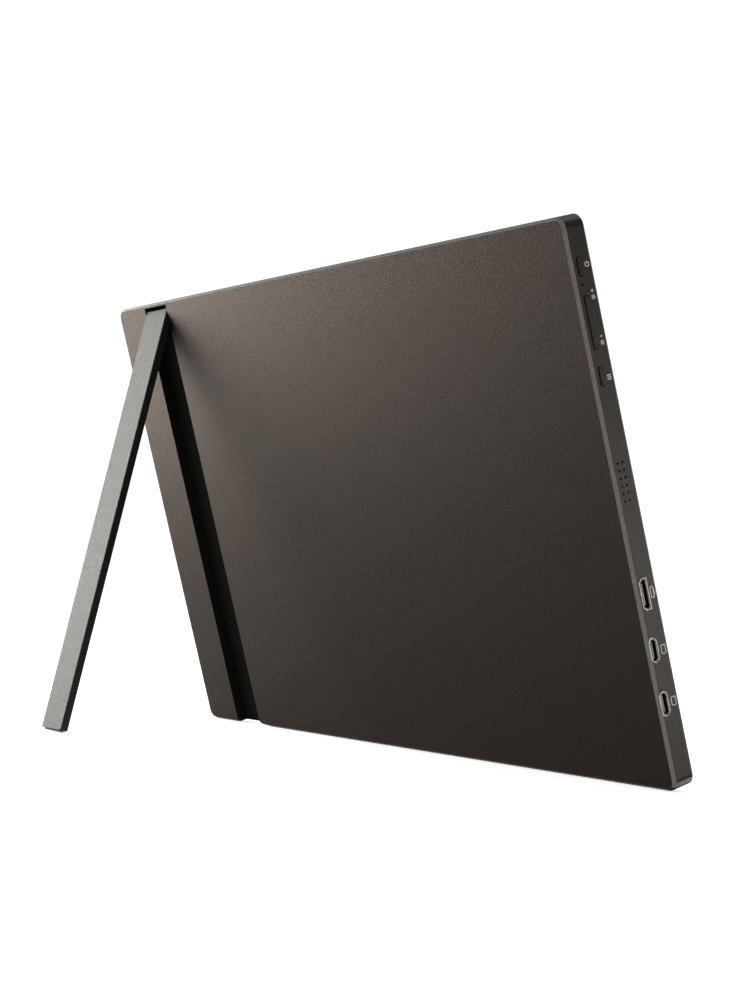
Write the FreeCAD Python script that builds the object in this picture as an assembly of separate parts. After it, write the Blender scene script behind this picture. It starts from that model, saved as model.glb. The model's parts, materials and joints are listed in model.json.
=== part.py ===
import FreeCAD
import Part
import math
import os

# Portable monitor that stands on a table on its own rear prop leg.
#
# Everything is built with the case upright: +X to the right as the viewer of the screen sees it, +Y out of
# the back, +Z up the screen. The back face lies at y = 0 and the bottom edge at z = 0. At the end the leg is
# opened, the whole is leaned back until case and leg both stand on the table, and the middle of the
# footprint becomes the origin. Lengths are in millimetres and angles in degrees.

Vec = FreeCAD.Vector
X_AXIS = Vec(1, 0, 0)
Y_AXIS = Vec(0, 1, 0)
Z_AXIS = Vec(0, 0, 1)
OVERRUN = 1.0
SAME_PLACE = 1e-6
PEG_SIDES = 12

# Case, as seen from behind
CASE_WIDTH = 370.0
CASE_HEIGHT = 225.0
CORNER_RADIUS = 5.0
BACK_CHAMFER = 1.2
BACK_WALL = 1.0
SIDE_WALL = 1.4
FRONT_EDGE_BREAK = 0.25

# Prop leg and its trench
LEG_INSET = 41.55
LEG_WIDTH = 22.4
LEG_THICKNESS = 3.8
LEG_SIDE_GAP = 0.4
LEG_TIP_MARGIN = 1.5
LEG_CREST = 1.0
LEG_EDGE_BREAK = 0.3
LEG_TIP_RADIUS = 1.5
LEG_HEEL_RADIUS = 1.0
LEG_OPEN_ANGLE = 30.0
KNUCKLE_RADIUS = 2.0
KNUCKLE_FLOOR_GAP = 0.8
TRENCH_FLOOR = 0.7
TRENCH_WALL = 1.0
TRENCH_HEAD = 1.95
MOUTH_FLARE = 11.0
MOUTH_RISE = 2.2
PAD_WIDTH = 18.0
PAD_THICKNESS = 2.0
PAD_DEPTH = 2.0
PAD_PROUD = 0.6

# Friction hinge of the leg
PIVOT_DROP = 6.0
CURL_BACK_GAP = 0.1
PIN_RADIUS = 1.0
PIN_FIT = 0.03
PIN_PRESS = 0.01
PIN_WALL_GAP = 0.15
PIN_TAIL = 0.5
CURL_WALL = 0.47
CURL_LENGTH = 9.8
CURL_GAP = 0.5
LEAF_LENGTH = 12.0
LEAF_THICKNESS = 0.8
LEAF_SCREW_SPACING = 5.4
LEAF_SCREW_MARGIN = 2.6
RING_THICKNESS = 0.4
RING_GAP = 0.1

# Screws and the bosses that take them
SCREW_RADIUS = 0.7
SCREW_HOLE_GAP = 0.12
SCREW_HEAD_RADIUS = 1.4
SCREW_HEAD_THICKNESS = 0.5
SCREW_BITE = 1.6
BOSS_RADIUS = 1.6
PIT_END_GAP = 0.2

# Front frame round the screen
BEZEL_FLANGE = 0.6
BEZEL_LIP_SLOPE = 0.4
BEZEL_RIB = 0.8
BEZEL_RIB_DEPTH = 2.0
BEZEL_RIB_GAP = 0.15
SNAP_LENGTH = 14.0
SNAP_HEIGHT = 0.3
SNAP_WIDTH = 0.8
SNAP_GAP = 0.1
SNAP_ACROSS_SHARES = (-0.36, -0.12, 0.12, 0.36)
SNAP_UPWARD_SHARES = (0.3, 0.75)

# Flat panel, from its steel tray to the screen
PANEL_GAP = 0.3
PANEL_BORDER = 2.85
PANEL_LOWER_BORDER = 9.5
PANEL_SIDE_GAP = 1.05
PANEL_TOP_GAP = 0.8
PANEL_FOOT_GAP = 1.6
TRAY_SHEET = 0.3
RIM_FOIL_GAP = 0.05
TRAY_LIP = 5.0
TRAY_LIP_GAP = 0.3
REFLECTOR_SHEET = 0.2
GUIDE_THICKNESS = 0.6
FILM_THICKNESS = 0.15
FILM_COUNT = 3
FRAME_RING = 1.6
STACK_GAP = 0.1
GLASS_THICKNESS = 0.5
GLASS_LEDGE = 4.0
GASKET_THICKNESS = 0.6
GASKET_SET_BACK = 0.6
GASKET_WIDTH = 1.4
LAMP_BAR_HEIGHT = 0.4
LAMP_COUNT = 24
LAMP_LENGTH = 3.0
LAMP_HEIGHT = 0.9
LAMP_END_MARGIN = 8.0
PANEL_BOARD_THICKNESS = 0.6
PANEL_BOARD_END = 70.0
PANEL_PLUG_LENGTH = 15.0
PANEL_PLUG_HEIGHT = 3.4
PANEL_PLUG_DEPTH = 0.8
FLEX_COUNT = 4
FLEX_WIDTH = 26.0
FLEX_THICKNESS = 0.1
FLEX_LAP = 1.8
RIB_THICKNESS = 2.0
RIB_LENGTH = 80.0
RIB_EDGE_MARGIN = 32.0
RIB_SPREAD = 100.0
RIB_SHIFT = 10.0
TAPE_THICKNESS = 0.2

# Picture board behind the sockets
BOARD_THICKNESS = 0.8
BOARD_HEAD_GAP = 0.2
BOARD_CORNER = 1.5
BOARD_SET_BACK = 2.1
BOARD_WIDTH = 61.5
BOARD_BELOW_SOCKETS = 12.9
BOARD_ABOVE_SOCKETS = 17.8
BOARD_SCREW_MARGIN = 3.2
BOARD_SCREW_INSET = 22.0
CHIP_HEIGHT = 0.9
CAN_SIZE = 26.0
CAN_HEIGHT = 1.6
CAN_SHEET = 0.2
CAN_EDGE = 8.0
CHIP_SHARES = (
    (0.25, 0.3, 0.36, 0.4),
    (0.68, 0.3, 0.3, 0.26),
    (0.68, 0.68, 0.22, 0.3),
    (0.28, 0.76, 0.3, 0.2),
)
PLUG_HEIGHT = 1.0
PLUG_DEPTH = 4.0
FILM_SHEET = 0.1
FILM_MARGIN = 0.4

# Sockets in the port-side wall, placed by their shares of the case's height from the bottom edge
SOCKET_RECESS = 0.4
SOCKET_DEPTH = 7.4
SOCKET_WALL = 0.3
SOCKET_WALL_GAP = 0.15
SOCKET_FLOOR = 0.8
RIM_BEVEL = 0.5
USB_PLACE_SHARES = {"upper": 0.2502, "lower": 0.1551}
USB_LENGTH = 8.94
USB_WIDTH = 3.2
USB_TONGUE_LENGTH = 6.7
USB_TONGUE_THICKNESS = 0.7
TONGUE_SET_BACK = 0.9
DISPLAY_PLACE_SHARE = 0.3476
DISPLAY_LENGTH = 11.6
DISPLAY_WIDTH = 3.0
DISPLAY_CORNER = 0.9
DISPLAY_SINK = 0.85
DISPLAY_TONGUE_LENGTH = 8.6
DISPLAY_TONGUE_THICKNESS = 0.8
DISPLAY_NOTCH_GAP = 0.2
DISPLAY_WING = 1.2

# Keys in the port-side wall: the lowest is placed from the top edge, and each other from the key below it
KEY_WIDTH = 2.5
KEY_RADIUS = 1.0
KEY_GAP = 0.15
KEY_PROUD = 0.4
KEY_EDGE_BREAK = 0.2
KEY_FLANGE = 0.6
KEY_FLANGE_LIP = 0.5
KEY_REST_GAP = 0.1
KEY_TRAVEL = 0.35
MENU_DROP = 61.9
MENU_LENGTH = 7.4
ROCKER_SPACING = 6.85
ROCKER_LENGTH = 20.5
ROCKER_WALL_GAP = 0.35
ROCKER_SWITCH_MARGIN = 3.75
POWER_SPACING = 7.25
POWER_LENGTH = 7.4
ROCKER_TRAVEL = 0.15
TRUNNION_INSET = 0.9
TRUNNION_RADIUS = 0.4
TRUNNION_LENGTH = 0.45
TRUNNION_FIT = 0.03
HUB_HALF = 0.9
HUB_BACK = 0.15
LUG_GAP = 0.1
LUG_THICKNESS = 0.5
SWITCH_STANDOFF = 1.65
SWITCH_PLAY = 0.05
SWITCH_HEIGHT = 1.2
SWITCH_LENGTH = 3.5
SWITCH_DEPTH = 3.0
SWITCH_TIP = 0.4
SWITCH_TIP_WIDTH = 0.7
SWITCH_TIP_LENGTH = 1.4
KEY_BOARD_THICKNESS = 0.6
KEY_BOARD_SET_BACK = 3.0
KEY_BOARD_WIDTH = 17.6
KEY_BOARD_MARGIN = 6.1
KEY_SCREW_MARGIN = 4.0
KEY_SCREW_INSET = 6.6
LAMP_SPACING = 3.1
LAMP_HOLE_RADIUS = 0.5
LAMP_PIPE_GAP = 0.05
LAMP_RISE = 0.7
LAMP_BLOCK = 2.4
LED_SIZE = 1.0

# Speakers, one behind each side wall
SPEAKER_PLACE_SHARE = 0.431
SPEAKER_LENGTH = 28.0
SPEAKER_DEPTH = 12.0
SPEAKER_WALL = 0.6
SPEAKER_LIP = 0.8
SPEAKER_LIP_MARGIN = 0.4
SPEAKER_GASKET = 0.6
SPEAKER_GASKET_WIDTH = 0.6
DRIVER_LENGTH = 17.8
DRIVER_WIDTH = 7.4
DRIVER_DEPTH = 2.6
DRIVER_GAP = 0.1
GRILLE_ROWS = 6
GRILLE_PITCH = 2.96
GRILLE_COLUMN_GAP = 2.37
GRILLE_RADIUS = 0.5
GRILLE_RIB_GAP = 0.205
LEAD_WIDTH = 4.0
LEAD_THICKNESS = 0.15
LEAD_LAP = 4.0
RIBBON_WIDTH = 5.0
RIBBON_GAP = 1.5
CABLE_WIDTH = 12.0
CABLE_THICKNESS = 0.25

# Screw pits, hinge and trench, worked out from what they hold
BOSS_PIT_DEPTH = BOARD_THICKNESS - KEY_BOARD_THICKNESS + SCREW_BITE + PIT_END_GAP
CURL_RADIUS = PIN_RADIUS + PIN_FIT + CURL_WALL
PIVOT_DEPTH = BACK_WALL + CURL_BACK_GAP + CURL_RADIUS
TRENCH_DEPTH = PIVOT_DEPTH + KNUCKLE_RADIUS + KNUCKLE_FLOOR_GAP

# Widths of the front frame, which covers the walls, its own rib and the borders of the panel
RIB_REACH = SIDE_WALL + BEZEL_RIB_GAP + BEZEL_RIB
BEZEL_SIDE = RIB_REACH + PANEL_SIDE_GAP + PANEL_BORDER
BEZEL_TOP = RIB_REACH + PANEL_TOP_GAP + PANEL_BORDER
BEZEL_CHIN = SIDE_WALL + PANEL_FOOT_GAP + TRAY_LIP + PANEL_LOWER_BORDER

# Heights through the case, worked out from the back face to the screen
TRAY_BACK = -(TRENCH_DEPTH + TRENCH_FLOOR + PANEL_GAP)
REFLECTOR_BACK = TRAY_BACK - TRAY_SHEET
GUIDE_BACK = REFLECTOR_BACK - REFLECTOR_SHEET
FILM_BACK = GUIDE_BACK - GUIDE_THICKNESS
GLASS_BACK = FILM_BACK - FILM_COUNT * FILM_THICKNESS
GLASS_MIDDLE = GLASS_BACK - GLASS_THICKNESS
GLASS_FRONT = GLASS_MIDDLE - GLASS_THICKNESS
FLANGE_BACK = GLASS_FRONT - GASKET_THICKNESS
CASE_FRONT = FLANGE_BACK - BEZEL_FLANGE
TRAY_RIM = TRAY_BACK - GLASS_MIDDLE - RIM_FOIL_GAP
GRILLE_HALF = GRILLE_COLUMN_GAP / 2 + GRILLE_RADIUS
GRILLE_SEAT = GRILLE_HALF + SPEAKER_LIP_MARGIN + SPEAKER_GASKET_WIDTH
GRILLE_DEPTH = -(FLANGE_BACK + BEZEL_RIB_DEPTH + GRILLE_RIB_GAP + GRILLE_SEAT)
BOARD_FRONT = TRAY_BACK + SCREW_HEAD_THICKNESS + BOARD_HEAD_GAP
BOARD_BACK = BOARD_FRONT + BOARD_THICKNESS
KEY_Y = BOARD_BACK + SWITCH_HEIGHT / 2
PIVOT_Y = -PIVOT_DEPTH
PIVOT_Z = CASE_HEIGHT - PIVOT_DROP
LEG_TIP_Z = LEG_TIP_MARGIN
LEG_X = CASE_WIDTH / 2 - LEG_INSET
LEFT = -CASE_WIDTH / 2
WALL_IN = LEFT + SIDE_WALL
SWITCH_TIP_X = WALL_IN + SWITCH_STANDOFF
TRENCH_HALF = LEG_WIDTH / 2 + LEG_SIDE_GAP
LEAF_FRONT = PIVOT_Y - CURL_RADIUS

# Places up the port side: sockets, keys, boards and speaker
USB_PLACES = {name: share * CASE_HEIGHT for name, share in USB_PLACE_SHARES.items()}
DISPLAY_PLACE = DISPLAY_PLACE_SHARE * CASE_HEIGHT
ROCKER_DROP = MENU_DROP - MENU_LENGTH / 2 - ROCKER_SPACING - ROCKER_LENGTH / 2
POWER_DROP = ROCKER_DROP - ROCKER_LENGTH / 2 - POWER_SPACING - POWER_LENGTH / 2
LAMP_DROP = POWER_DROP + POWER_LENGTH / 2 + LAMP_SPACING
ROCKER_SWITCH_SPREAD = ROCKER_LENGTH / 2 - ROCKER_SWITCH_MARGIN
BOARD_X = (LEFT + SIDE_WALL + BOARD_SET_BACK, LEFT + SIDE_WALL + BOARD_SET_BACK + BOARD_WIDTH)
BOARD_Z = (min(USB_PLACES.values()) - BOARD_BELOW_SOCKETS, DISPLAY_PLACE + BOARD_ABOVE_SOCKETS)
KEY_BOARD_X = (WALL_IN + KEY_BOARD_SET_BACK, WALL_IN + KEY_BOARD_SET_BACK + KEY_BOARD_WIDTH)
KEY_BOARD_Z = (CASE_HEIGHT - MENU_DROP - KEY_BOARD_MARGIN, CASE_HEIGHT - POWER_DROP + KEY_BOARD_MARGIN)
SPEAKER_Z = BOARD_Z[1] + SPEAKER_PLACE_SHARE * (KEY_BOARD_Z[0] - BOARD_Z[1])

# Panel outline: the tray, and what lies inside its rim
TRAY_X = (LEFT + BEZEL_SIDE - PANEL_BORDER, CASE_WIDTH / 2 - BEZEL_SIDE + PANEL_BORDER)
TRAY_Z = (BEZEL_CHIN - PANEL_LOWER_BORDER, CASE_HEIGHT - BEZEL_TOP + PANEL_BORDER)


# Small helpers

def block(x, y, z):
    """Box between the two ends given along each axis."""
    corner = Vec(min(x), min(y), min(z))
    return Part.makeBox(max(x) - min(x), max(y) - min(y), max(z) - min(z), corner)


def around(middle, length):
    """Ends of a length centred on a middle."""
    return (middle - length / 2, middle + length / 2)


def inset(ends, amount):
    """Ends moved towards each other by an amount."""
    return (min(ends) + amount, max(ends) - amount)


def edges_along_y(shape):
    """Straight edges that run through the thickness of the case."""
    found = []
    for edge in shape.Edges:
        first, last = edge.Vertexes[0].Point, edge.Vertexes[-1].Point
        if math.hypot(first.x - last.x, first.z - last.z) < SAME_PLACE:
            found.append(edge)
    return found


def edges_at_depth(shape, y):
    """Edges that lie wholly in the plane at depth y."""
    found = []
    for edge in shape.Edges:
        if all(math.isclose(vertex.Y, y, abs_tol=SAME_PLACE) for vertex in edge.Vertexes):
            found.append(edge)
    return found


def plate(x, y, z, radius):
    """Sheet in the plane of the screen with rounded corners."""
    sheet = block(x, y, z)
    return sheet.makeFillet(radius, edges_along_y(sheet))


def ring(x, y, z, radius, width):
    """Rounded sheet with a like opening, so that a frame of even width is left."""
    opening = block(inset(x, width), (min(y) - OVERRUN, max(y) + OVERRUN), inset(z, width))
    return plate(x, y, z, radius).cut(opening)


def rod(start, axis, length, radius):
    """Round bar from a start point along an axis."""
    return Part.makeCylinder(radius, length, start, axis)


def rod_x(x, y, z, radius):
    """Round bar along x between two ends."""
    return rod(Vec(min(x), y, z), X_AXIS, max(x) - min(x), radius)


def rod_y(x, y, z, radius):
    """Round bar along y between two ends."""
    return rod(Vec(x, min(y), z), Y_AXIS, max(y) - min(y), radius)


def peg(start, run, first, second, radius):
    """Flat-sided bar for small rounds that repeat: its start, its run and two directions across it."""
    corners = []
    for index in range(PEG_SIDES):
        angle = 2 * math.pi * index / PEG_SIDES
        corners.append(start + first * (radius * math.cos(angle)) + second * (radius * math.sin(angle)))
    return Part.Face(Part.makePolygon(corners + corners[:1])).extrude(run)


def peg_x(x, y, z, radius):
    """Flat-sided bar along x between two ends."""
    return peg(Vec(min(x), y, z), X_AXIS * (max(x) - min(x)), Y_AXIS, Z_AXIS, radius)


def peg_y(x, y, z, radius):
    """Flat-sided bar along y between two ends."""
    return peg(Vec(x, min(y), z), Y_AXIS * (max(y) - min(y)), Z_AXIS, X_AXIS, radius)


def prism_x(points, x):
    """Solid along x with the outline of the (y, z) points."""
    corners = [Vec(min(x), y, z) for y, z in points]
    face = Part.Face(Part.makePolygon(corners + corners[:1]))
    return face.extrude(Vec(max(x) - min(x), 0, 0))


def prism_z(points, z):
    """Solid along z with the outline of the (x, y) points."""
    corners = [Vec(x, y, min(z)) for x, y in points]
    face = Part.Face(Part.makePolygon(corners + corners[:1]))
    return face.extrude(Vec(0, 0, max(z) - min(z)))


def strip_outline(path, thickness):
    """Outline of a flat lead: a path of (y, z) points, and back along it, moved by the thickness."""
    return path + [(y + thickness, z) for y, z in reversed(path)]


def rounded_wire(x, y, z, width, length, radius):
    """Closed outline across x: width along y, length along z, with rounded corners."""
    half_y = width / 2 - radius
    half_z = length / 2 - radius
    corners = [(half_y, half_z), (-half_y, half_z), (-half_y, -half_z), (half_y, -half_z)]
    edges = []
    ends = []
    for quarter, (offset_y, offset_z) in enumerate(corners):
        middle = Vec(x, y + offset_y, z + offset_z)
        points = []
        for half_turn_share in (0, 1 / 4, 1 / 2):
            angle = math.pi * (quarter / 2 + half_turn_share)
            points.append(middle + Vec(0, radius * math.cos(angle), radius * math.sin(angle)))
        edges.append(Part.Arc(*points).toShape())
        ends.append((points[0], points[-1]))
    for index, (_, last) in enumerate(ends):
        following = ends[(index + 1) % len(ends)][0]
        if last.distanceToPoint(following) > SAME_PLACE:
            edges.append(Part.makeLine(last, following))
    return Part.Wire(Part.__sortEdges__(edges))


def cornered_wire(x, y, z, width, length, corner):
    """Closed outline across x: a rectangle whose two corners towards the back are cut off."""
    back, front = y + width / 2, y - width / 2
    low, high = z - length / 2, z + length / 2
    points = [(front, low), (front, high), (back - corner, high), (back, high - corner),
              (back, low + corner), (back - corner, low)]
    corners = [Vec(x, along, up) for along, up in points]
    return Part.makePolygon(corners + corners[:1])


def extrude_x(wire, length):
    """Solid made by moving a closed outline along x."""
    return Part.Face(wire).extrude(Vec(length, 0, 0))


def joined(shapes):
    """One solid out of several that overlap or touch."""
    return shapes[0].multiFuse(shapes[1:]).removeSplitter()


def group(shapes):
    """Separate solids kept together under one name."""
    return Part.makeCompound(shapes)


def mirrored(shape):
    """The same shape on the other side of the case."""
    return shape.mirror(Vec(0, 0, 0), X_AXIS)


# Places that several pieces share

def main_screw_places():
    """Screw places of the picture board, as (x, z)."""
    columns = (BOARD_X[0] + BOARD_SCREW_INSET, BOARD_X[1] - BOARD_SCREW_MARGIN)
    rows = inset(BOARD_Z, BOARD_SCREW_MARGIN)
    return [(x, z) for x in columns for z in rows]


def key_screw_places():
    """Screw places of the key board, as (x, z)."""
    return [(KEY_BOARD_X[0] + KEY_SCREW_INSET, z) for z in inset(KEY_BOARD_Z, KEY_SCREW_MARGIN)]


def curl_spans():
    """Ends along x of the two hinge brackets, the one nearer the middle of the case first."""
    reach = TRENCH_HALF + TRENCH_WALL + CURL_GAP
    inner = (LEG_X - reach - CURL_LENGTH, LEG_X - reach)
    outer = (LEG_X + reach, LEG_X + reach + CURL_LENGTH)
    return [inner, outer]


def leaf_screw_places():
    """Screw places of the hinge brackets, as (x, z)."""
    row = PIVOT_Z - LEAF_LENGTH + LEAF_SCREW_MARGIN
    return [(x, row) for span in curl_spans() for x in around(sum(span) / 2, LEAF_SCREW_SPACING)]


def rib_spans():
    """Ends along x and middle height of the ribs that carry the panel, as (x ends, z)."""
    rows = inset(TRAY_Z, RIB_EDGE_MARGIN)
    return [(around(RIB_SHIFT + side * RIB_SPREAD / 2, RIB_LENGTH), z) for side in (-1, 1) for z in rows]


def snap_places():
    """Middles of the bezel's snap beads, as (along x or z, place, side)."""
    across = [("x", share * CASE_WIDTH, side) for share in SNAP_ACROSS_SHARES for side in (-1, 1)]
    upward = [("z", share * CASE_HEIGHT, side) for share in SNAP_UPWARD_SHARES for side in (-1, 1)]
    return across + upward


# Rear cover

def case_tray():
    """Outer tray with its bevelled back edge."""
    body = plate((LEFT, -LEFT), (FLANGE_BACK, 0), (0, CASE_HEIGHT), CORNER_RADIUS)
    body = body.makeChamfer(BACK_CHAMFER, edges_at_depth(body, 0))
    hollow = plate(inset((LEFT, -LEFT), SIDE_WALL), (FLANGE_BACK - OVERRUN, -BACK_WALL),
                   inset((0, CASE_HEIGHT), SIDE_WALL), CORNER_RADIUS - SIDE_WALL)
    return body.cut(hollow)


def trench_housing():
    """Inner walls of the leg trench, with the thicker edge that its flared mouth is cut into."""
    floor = -(TRENCH_DEPTH + TRENCH_FLOOR)
    x = around(LEG_X, 2 * (TRENCH_HALF + TRENCH_WALL))
    trough = block(x, (floor, -BACK_WALL), (0, CASE_HEIGHT - SIDE_WALL))
    mouth_x = (LEG_X - TRENCH_HALF - MOUTH_FLARE - TRENCH_WALL, LEG_X)
    mouth = block(mouth_x, (floor, -BACK_WALL), (0, MOUTH_RISE + TRENCH_WALL))
    corner = block(mouth_x, (-BACK_CHAMFER, 0), (-OVERRUN, BACK_CHAMFER))
    return trough.fuse(mouth.cut(corner)).cut(block(x, (-BACK_CHAMFER, OVERRUN), (-OVERRUN, BACK_CHAMFER)))


def trench_space():
    """Space that the folded leg lies in, open at the bottom edge."""
    return block(around(LEG_X, 2 * TRENCH_HALF), (-TRENCH_DEPTH, OVERRUN),
                 (-OVERRUN, CASE_HEIGHT - TRENCH_HEAD))


def mouth_flare():
    """Rounded flare at the trench's mouth, where a fingernail gets at the leg."""
    wall = LEG_X - TRENCH_HALF
    radius = (MOUTH_FLARE ** 2 + MOUTH_RISE ** 2) / (2 * MOUTH_RISE)
    turn = math.asin(MOUTH_FLARE / radius)
    start = Vec(wall - MOUTH_FLARE, -TRENCH_DEPTH, 0)
    middle = start + Vec(radius * math.sin(turn / 2), 0, radius * (1 - math.cos(turn / 2)))
    end = Vec(wall, -TRENCH_DEPTH, MOUTH_RISE)
    inside = Vec(LEG_X, -TRENCH_DEPTH, MOUTH_RISE)
    below = [Vec(LEG_X, -TRENCH_DEPTH, -OVERRUN), Vec(wall - MOUTH_FLARE, -TRENCH_DEPTH, -OVERRUN)]
    rest = Part.makePolygon([end, inside] + below + [start])
    outline = Part.Wire(Part.__sortEdges__([Part.Arc(start, middle, end).toShape()] + rest.Edges))
    return Part.Face(outline).extrude(Vec(0, TRENCH_DEPTH + OVERRUN, 0))


def wall_opening(outline, *sizes):
    """Opening through the port-side wall with a bevelled rim, for an outline function and its sizes."""
    y, z, width, length, corner = sizes
    bevel = 2 * RIM_BEVEL
    outer = outline(LEFT, y, z, width + bevel, length + bevel, corner + RIM_BEVEL)
    inner = outline(LEFT + RIM_BEVEL, y, z, width, length, corner)
    through = extrude_x(inner, SIDE_WALL + OVERRUN)
    return Part.makeLoft([outer, inner], True, True).fuse(through)


def socket_openings():
    """Openings for the two USB-C sockets and the mini display socket."""
    room = 2 * SOCKET_WALL_GAP
    cuts = []
    for place in USB_PLACES.values():
        width = USB_WIDTH + room
        cuts.append(wall_opening(rounded_wire, usb_y(), place, width, USB_LENGTH + room, width / 2))
    cuts.append(wall_opening(cornered_wire, display_y(), DISPLAY_PLACE, DISPLAY_WIDTH + room,
                             DISPLAY_LENGTH + room, DISPLAY_CORNER))
    return cuts


def key_openings():
    """Openings for the three keys, and the pinhole of the lamp."""
    room = 2 * KEY_GAP
    cuts = []
    for drop, length in ((POWER_DROP, POWER_LENGTH), (ROCKER_DROP, ROCKER_LENGTH), (MENU_DROP, MENU_LENGTH)):
        wire = rounded_wire(LEFT - OVERRUN, KEY_Y, CASE_HEIGHT - drop, KEY_WIDTH + room, length + room,
                            KEY_RADIUS + KEY_GAP)
        cuts.append(extrude_x(wire, SIDE_WALL + 2 * OVERRUN))
    lamp_x = (LEFT - OVERRUN, WALL_IN + OVERRUN)
    cuts.append(rod_x(lamp_x, KEY_Y + LAMP_RISE, CASE_HEIGHT - LAMP_DROP, LAMP_HOLE_RADIUS))
    return cuts


def grille_holes():
    """Sound holes of both speakers, two columns on each side."""
    cuts = []
    for row in range(GRILLE_ROWS):
        z = SPEAKER_Z + (row - (GRILLE_ROWS - 1) / 2) * GRILLE_PITCH
        for y in around(-GRILLE_DEPTH, GRILLE_COLUMN_GAP):
            hole = peg_x((LEFT - OVERRUN, WALL_IN + OVERRUN), y, z, GRILLE_RADIUS)
            cuts += [hole, mirrored(hole)]
    return cuts


def bosses():
    """Screw bosses for the boards and the hinge brackets, as solid posts and as the pits to cut."""
    places = [(place, BOARD_BACK) for place in main_screw_places() + key_screw_places()]
    places += [(place, LEAF_FRONT + LEAF_THICKNESS) for place in leaf_screw_places()]
    posts = [peg_y(x, (top, -BACK_WALL / 2), z, BOSS_RADIUS) for (x, z), top in places]
    pits = [peg_y(x, (top - OVERRUN, top + BOSS_PIT_DEPTH), z, SCREW_RADIUS) for (x, z), top in places]
    return posts, pits


def panel_ribs():
    """Upright ribs inside the back wall that the panel is taped to."""
    top = TRAY_BACK + TAPE_THICKNESS
    return [block(x, (top, -BACK_WALL / 2), around(z, RIB_THICKNESS)) for x, z in rib_spans()]


def snap_shape(along, place, side, height, length, width):
    """Three-cornered bead, or the groove for one, that stands out of the bezel's rib towards a wall."""
    y = FLANGE_BACK + BEZEL_RIB_DEPTH / 2
    reach = CASE_HEIGHT / 2 if along == "x" else CASE_WIDTH / 2
    root = reach - SIDE_WALL - BEZEL_RIB_GAP
    points = [(y - width / 2, -root), (y + width / 2, -root), (y, -root - height)]
    if along == "x":
        bead = prism_x([(depth, out * -side) for depth, out in points], around(place, length))
        bead.translate(Vec(0, 0, CASE_HEIGHT / 2))
        return bead
    return prism_z([(out * -side, depth) for depth, out in points], around(place, length))


def rear_cover():
    """Aluminium tray with the leg trench, the wall openings, the bosses and the panel ribs."""
    posts, pits = bosses()
    body = joined([case_tray(), trench_housing()] + posts + panel_ribs())
    pin_hole = rod_x(around(LEG_X, 2 * (TRENCH_HALF + TRENCH_WALL + CURL_GAP)), PIVOT_Y, PIVOT_Z,
                     PIN_RADIUS + PIN_WALL_GAP)
    grooves = [snap_shape(*place, SNAP_HEIGHT + SNAP_GAP, SNAP_LENGTH + SNAP_GAP, SNAP_WIDTH + SNAP_GAP)
               for place in snap_places()]
    cuts = [trench_space(), mouth_flare(), pin_hole] + pits + grooves
    return body.cut(cuts + socket_openings() + key_openings() + grille_holes())


# Front frame and flat panel

def window():
    """Ends along x and z of the opening in front of the screen."""
    return inset((LEFT, -LEFT), BEZEL_SIDE), (BEZEL_CHIN, CASE_HEIGHT - BEZEL_TOP)


def front_bezel():
    """Front frame with a sloped inner lip, an inner rib and snap beads."""
    flange = plate((LEFT, -LEFT), (CASE_FRONT, FLANGE_BACK), (0, CASE_HEIGHT), CORNER_RADIUS)
    flange = flange.makeChamfer(FRONT_EDGE_BREAK, edges_at_depth(flange, CASE_FRONT))
    x, z = window()
    lip = [Part.makePolygon([Vec(a, y, b) for a, b in rectangle(inset(x, -grow), inset(z, -grow))])
           for y, grow in ((CASE_FRONT, BEZEL_LIP_SLOPE), (FLANGE_BACK, 0))]
    flange = flange.cut(Part.makeLoft(lip, True, True))
    clear = SIDE_WALL + BEZEL_RIB_GAP
    rib = ring(inset((LEFT, -LEFT), clear), (FLANGE_BACK, FLANGE_BACK + BEZEL_RIB_DEPTH),
               inset((0, CASE_HEIGHT), clear), CORNER_RADIUS - clear, BEZEL_RIB)
    beads = [snap_shape(*place, SNAP_HEIGHT, SNAP_LENGTH, SNAP_WIDTH) for place in snap_places()]
    return joined([flange, rib] + beads)


def rectangle(x, z):
    """Closed corner list of a rectangle."""
    return [(x[0], z[0]), (x[1], z[0]), (x[1], z[1]), (x[0], z[1]), (x[0], z[0])]


def bezel_gasket():
    """Foam frame between the glass and the bezel."""
    x, z = window()
    grow = GASKET_SET_BACK + GASKET_WIDTH
    outer = block(inset(x, -grow), (FLANGE_BACK, GLASS_FRONT), inset(z, -grow))
    return outer.cut(block(inset(x, -GASKET_SET_BACK), (FLANGE_BACK - OVERRUN, GLASS_FRONT + OVERRUN),
                           inset(z, -GASKET_SET_BACK)))


def panel_tray():
    """Steel tray with a low rim, and a lip below that carries the panel's strip board."""
    sheet_y = (REFLECTOR_BACK, TRAY_BACK)
    rim_y = (TRAY_BACK - TRAY_RIM, TRAY_BACK)
    rim = block(TRAY_X, rim_y, TRAY_Z)
    rim = rim.cut(block(inset(TRAY_X, TRAY_SHEET), (rim_y[0] - OVERRUN, REFLECTOR_BACK),
                        inset(TRAY_Z, TRAY_SHEET)))
    lip = block(panel_board_x(), sheet_y, (TRAY_Z[0] - TRAY_LIP, TRAY_Z[0] + TRAY_SHEET))
    plug_x, plug_z = panel_plug_place()
    notch = block(inset(plug_x, -TRAY_LIP_GAP), (REFLECTOR_BACK - OVERRUN, TRAY_BACK + OVERRUN),
                  inset(plug_z, -TRAY_LIP_GAP))
    return joined([rim, lip]).cut(notch)


def panel_board_x():
    """Ends along x of the strip board in the chin."""
    return inset(TRAY_X, PANEL_BOARD_END)


def panel_board_z():
    """Lower and upper edge of the strip board."""
    return (TRAY_Z[0] - TRAY_LIP, TRAY_Z[0] - TRAY_LIP_GAP)


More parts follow.
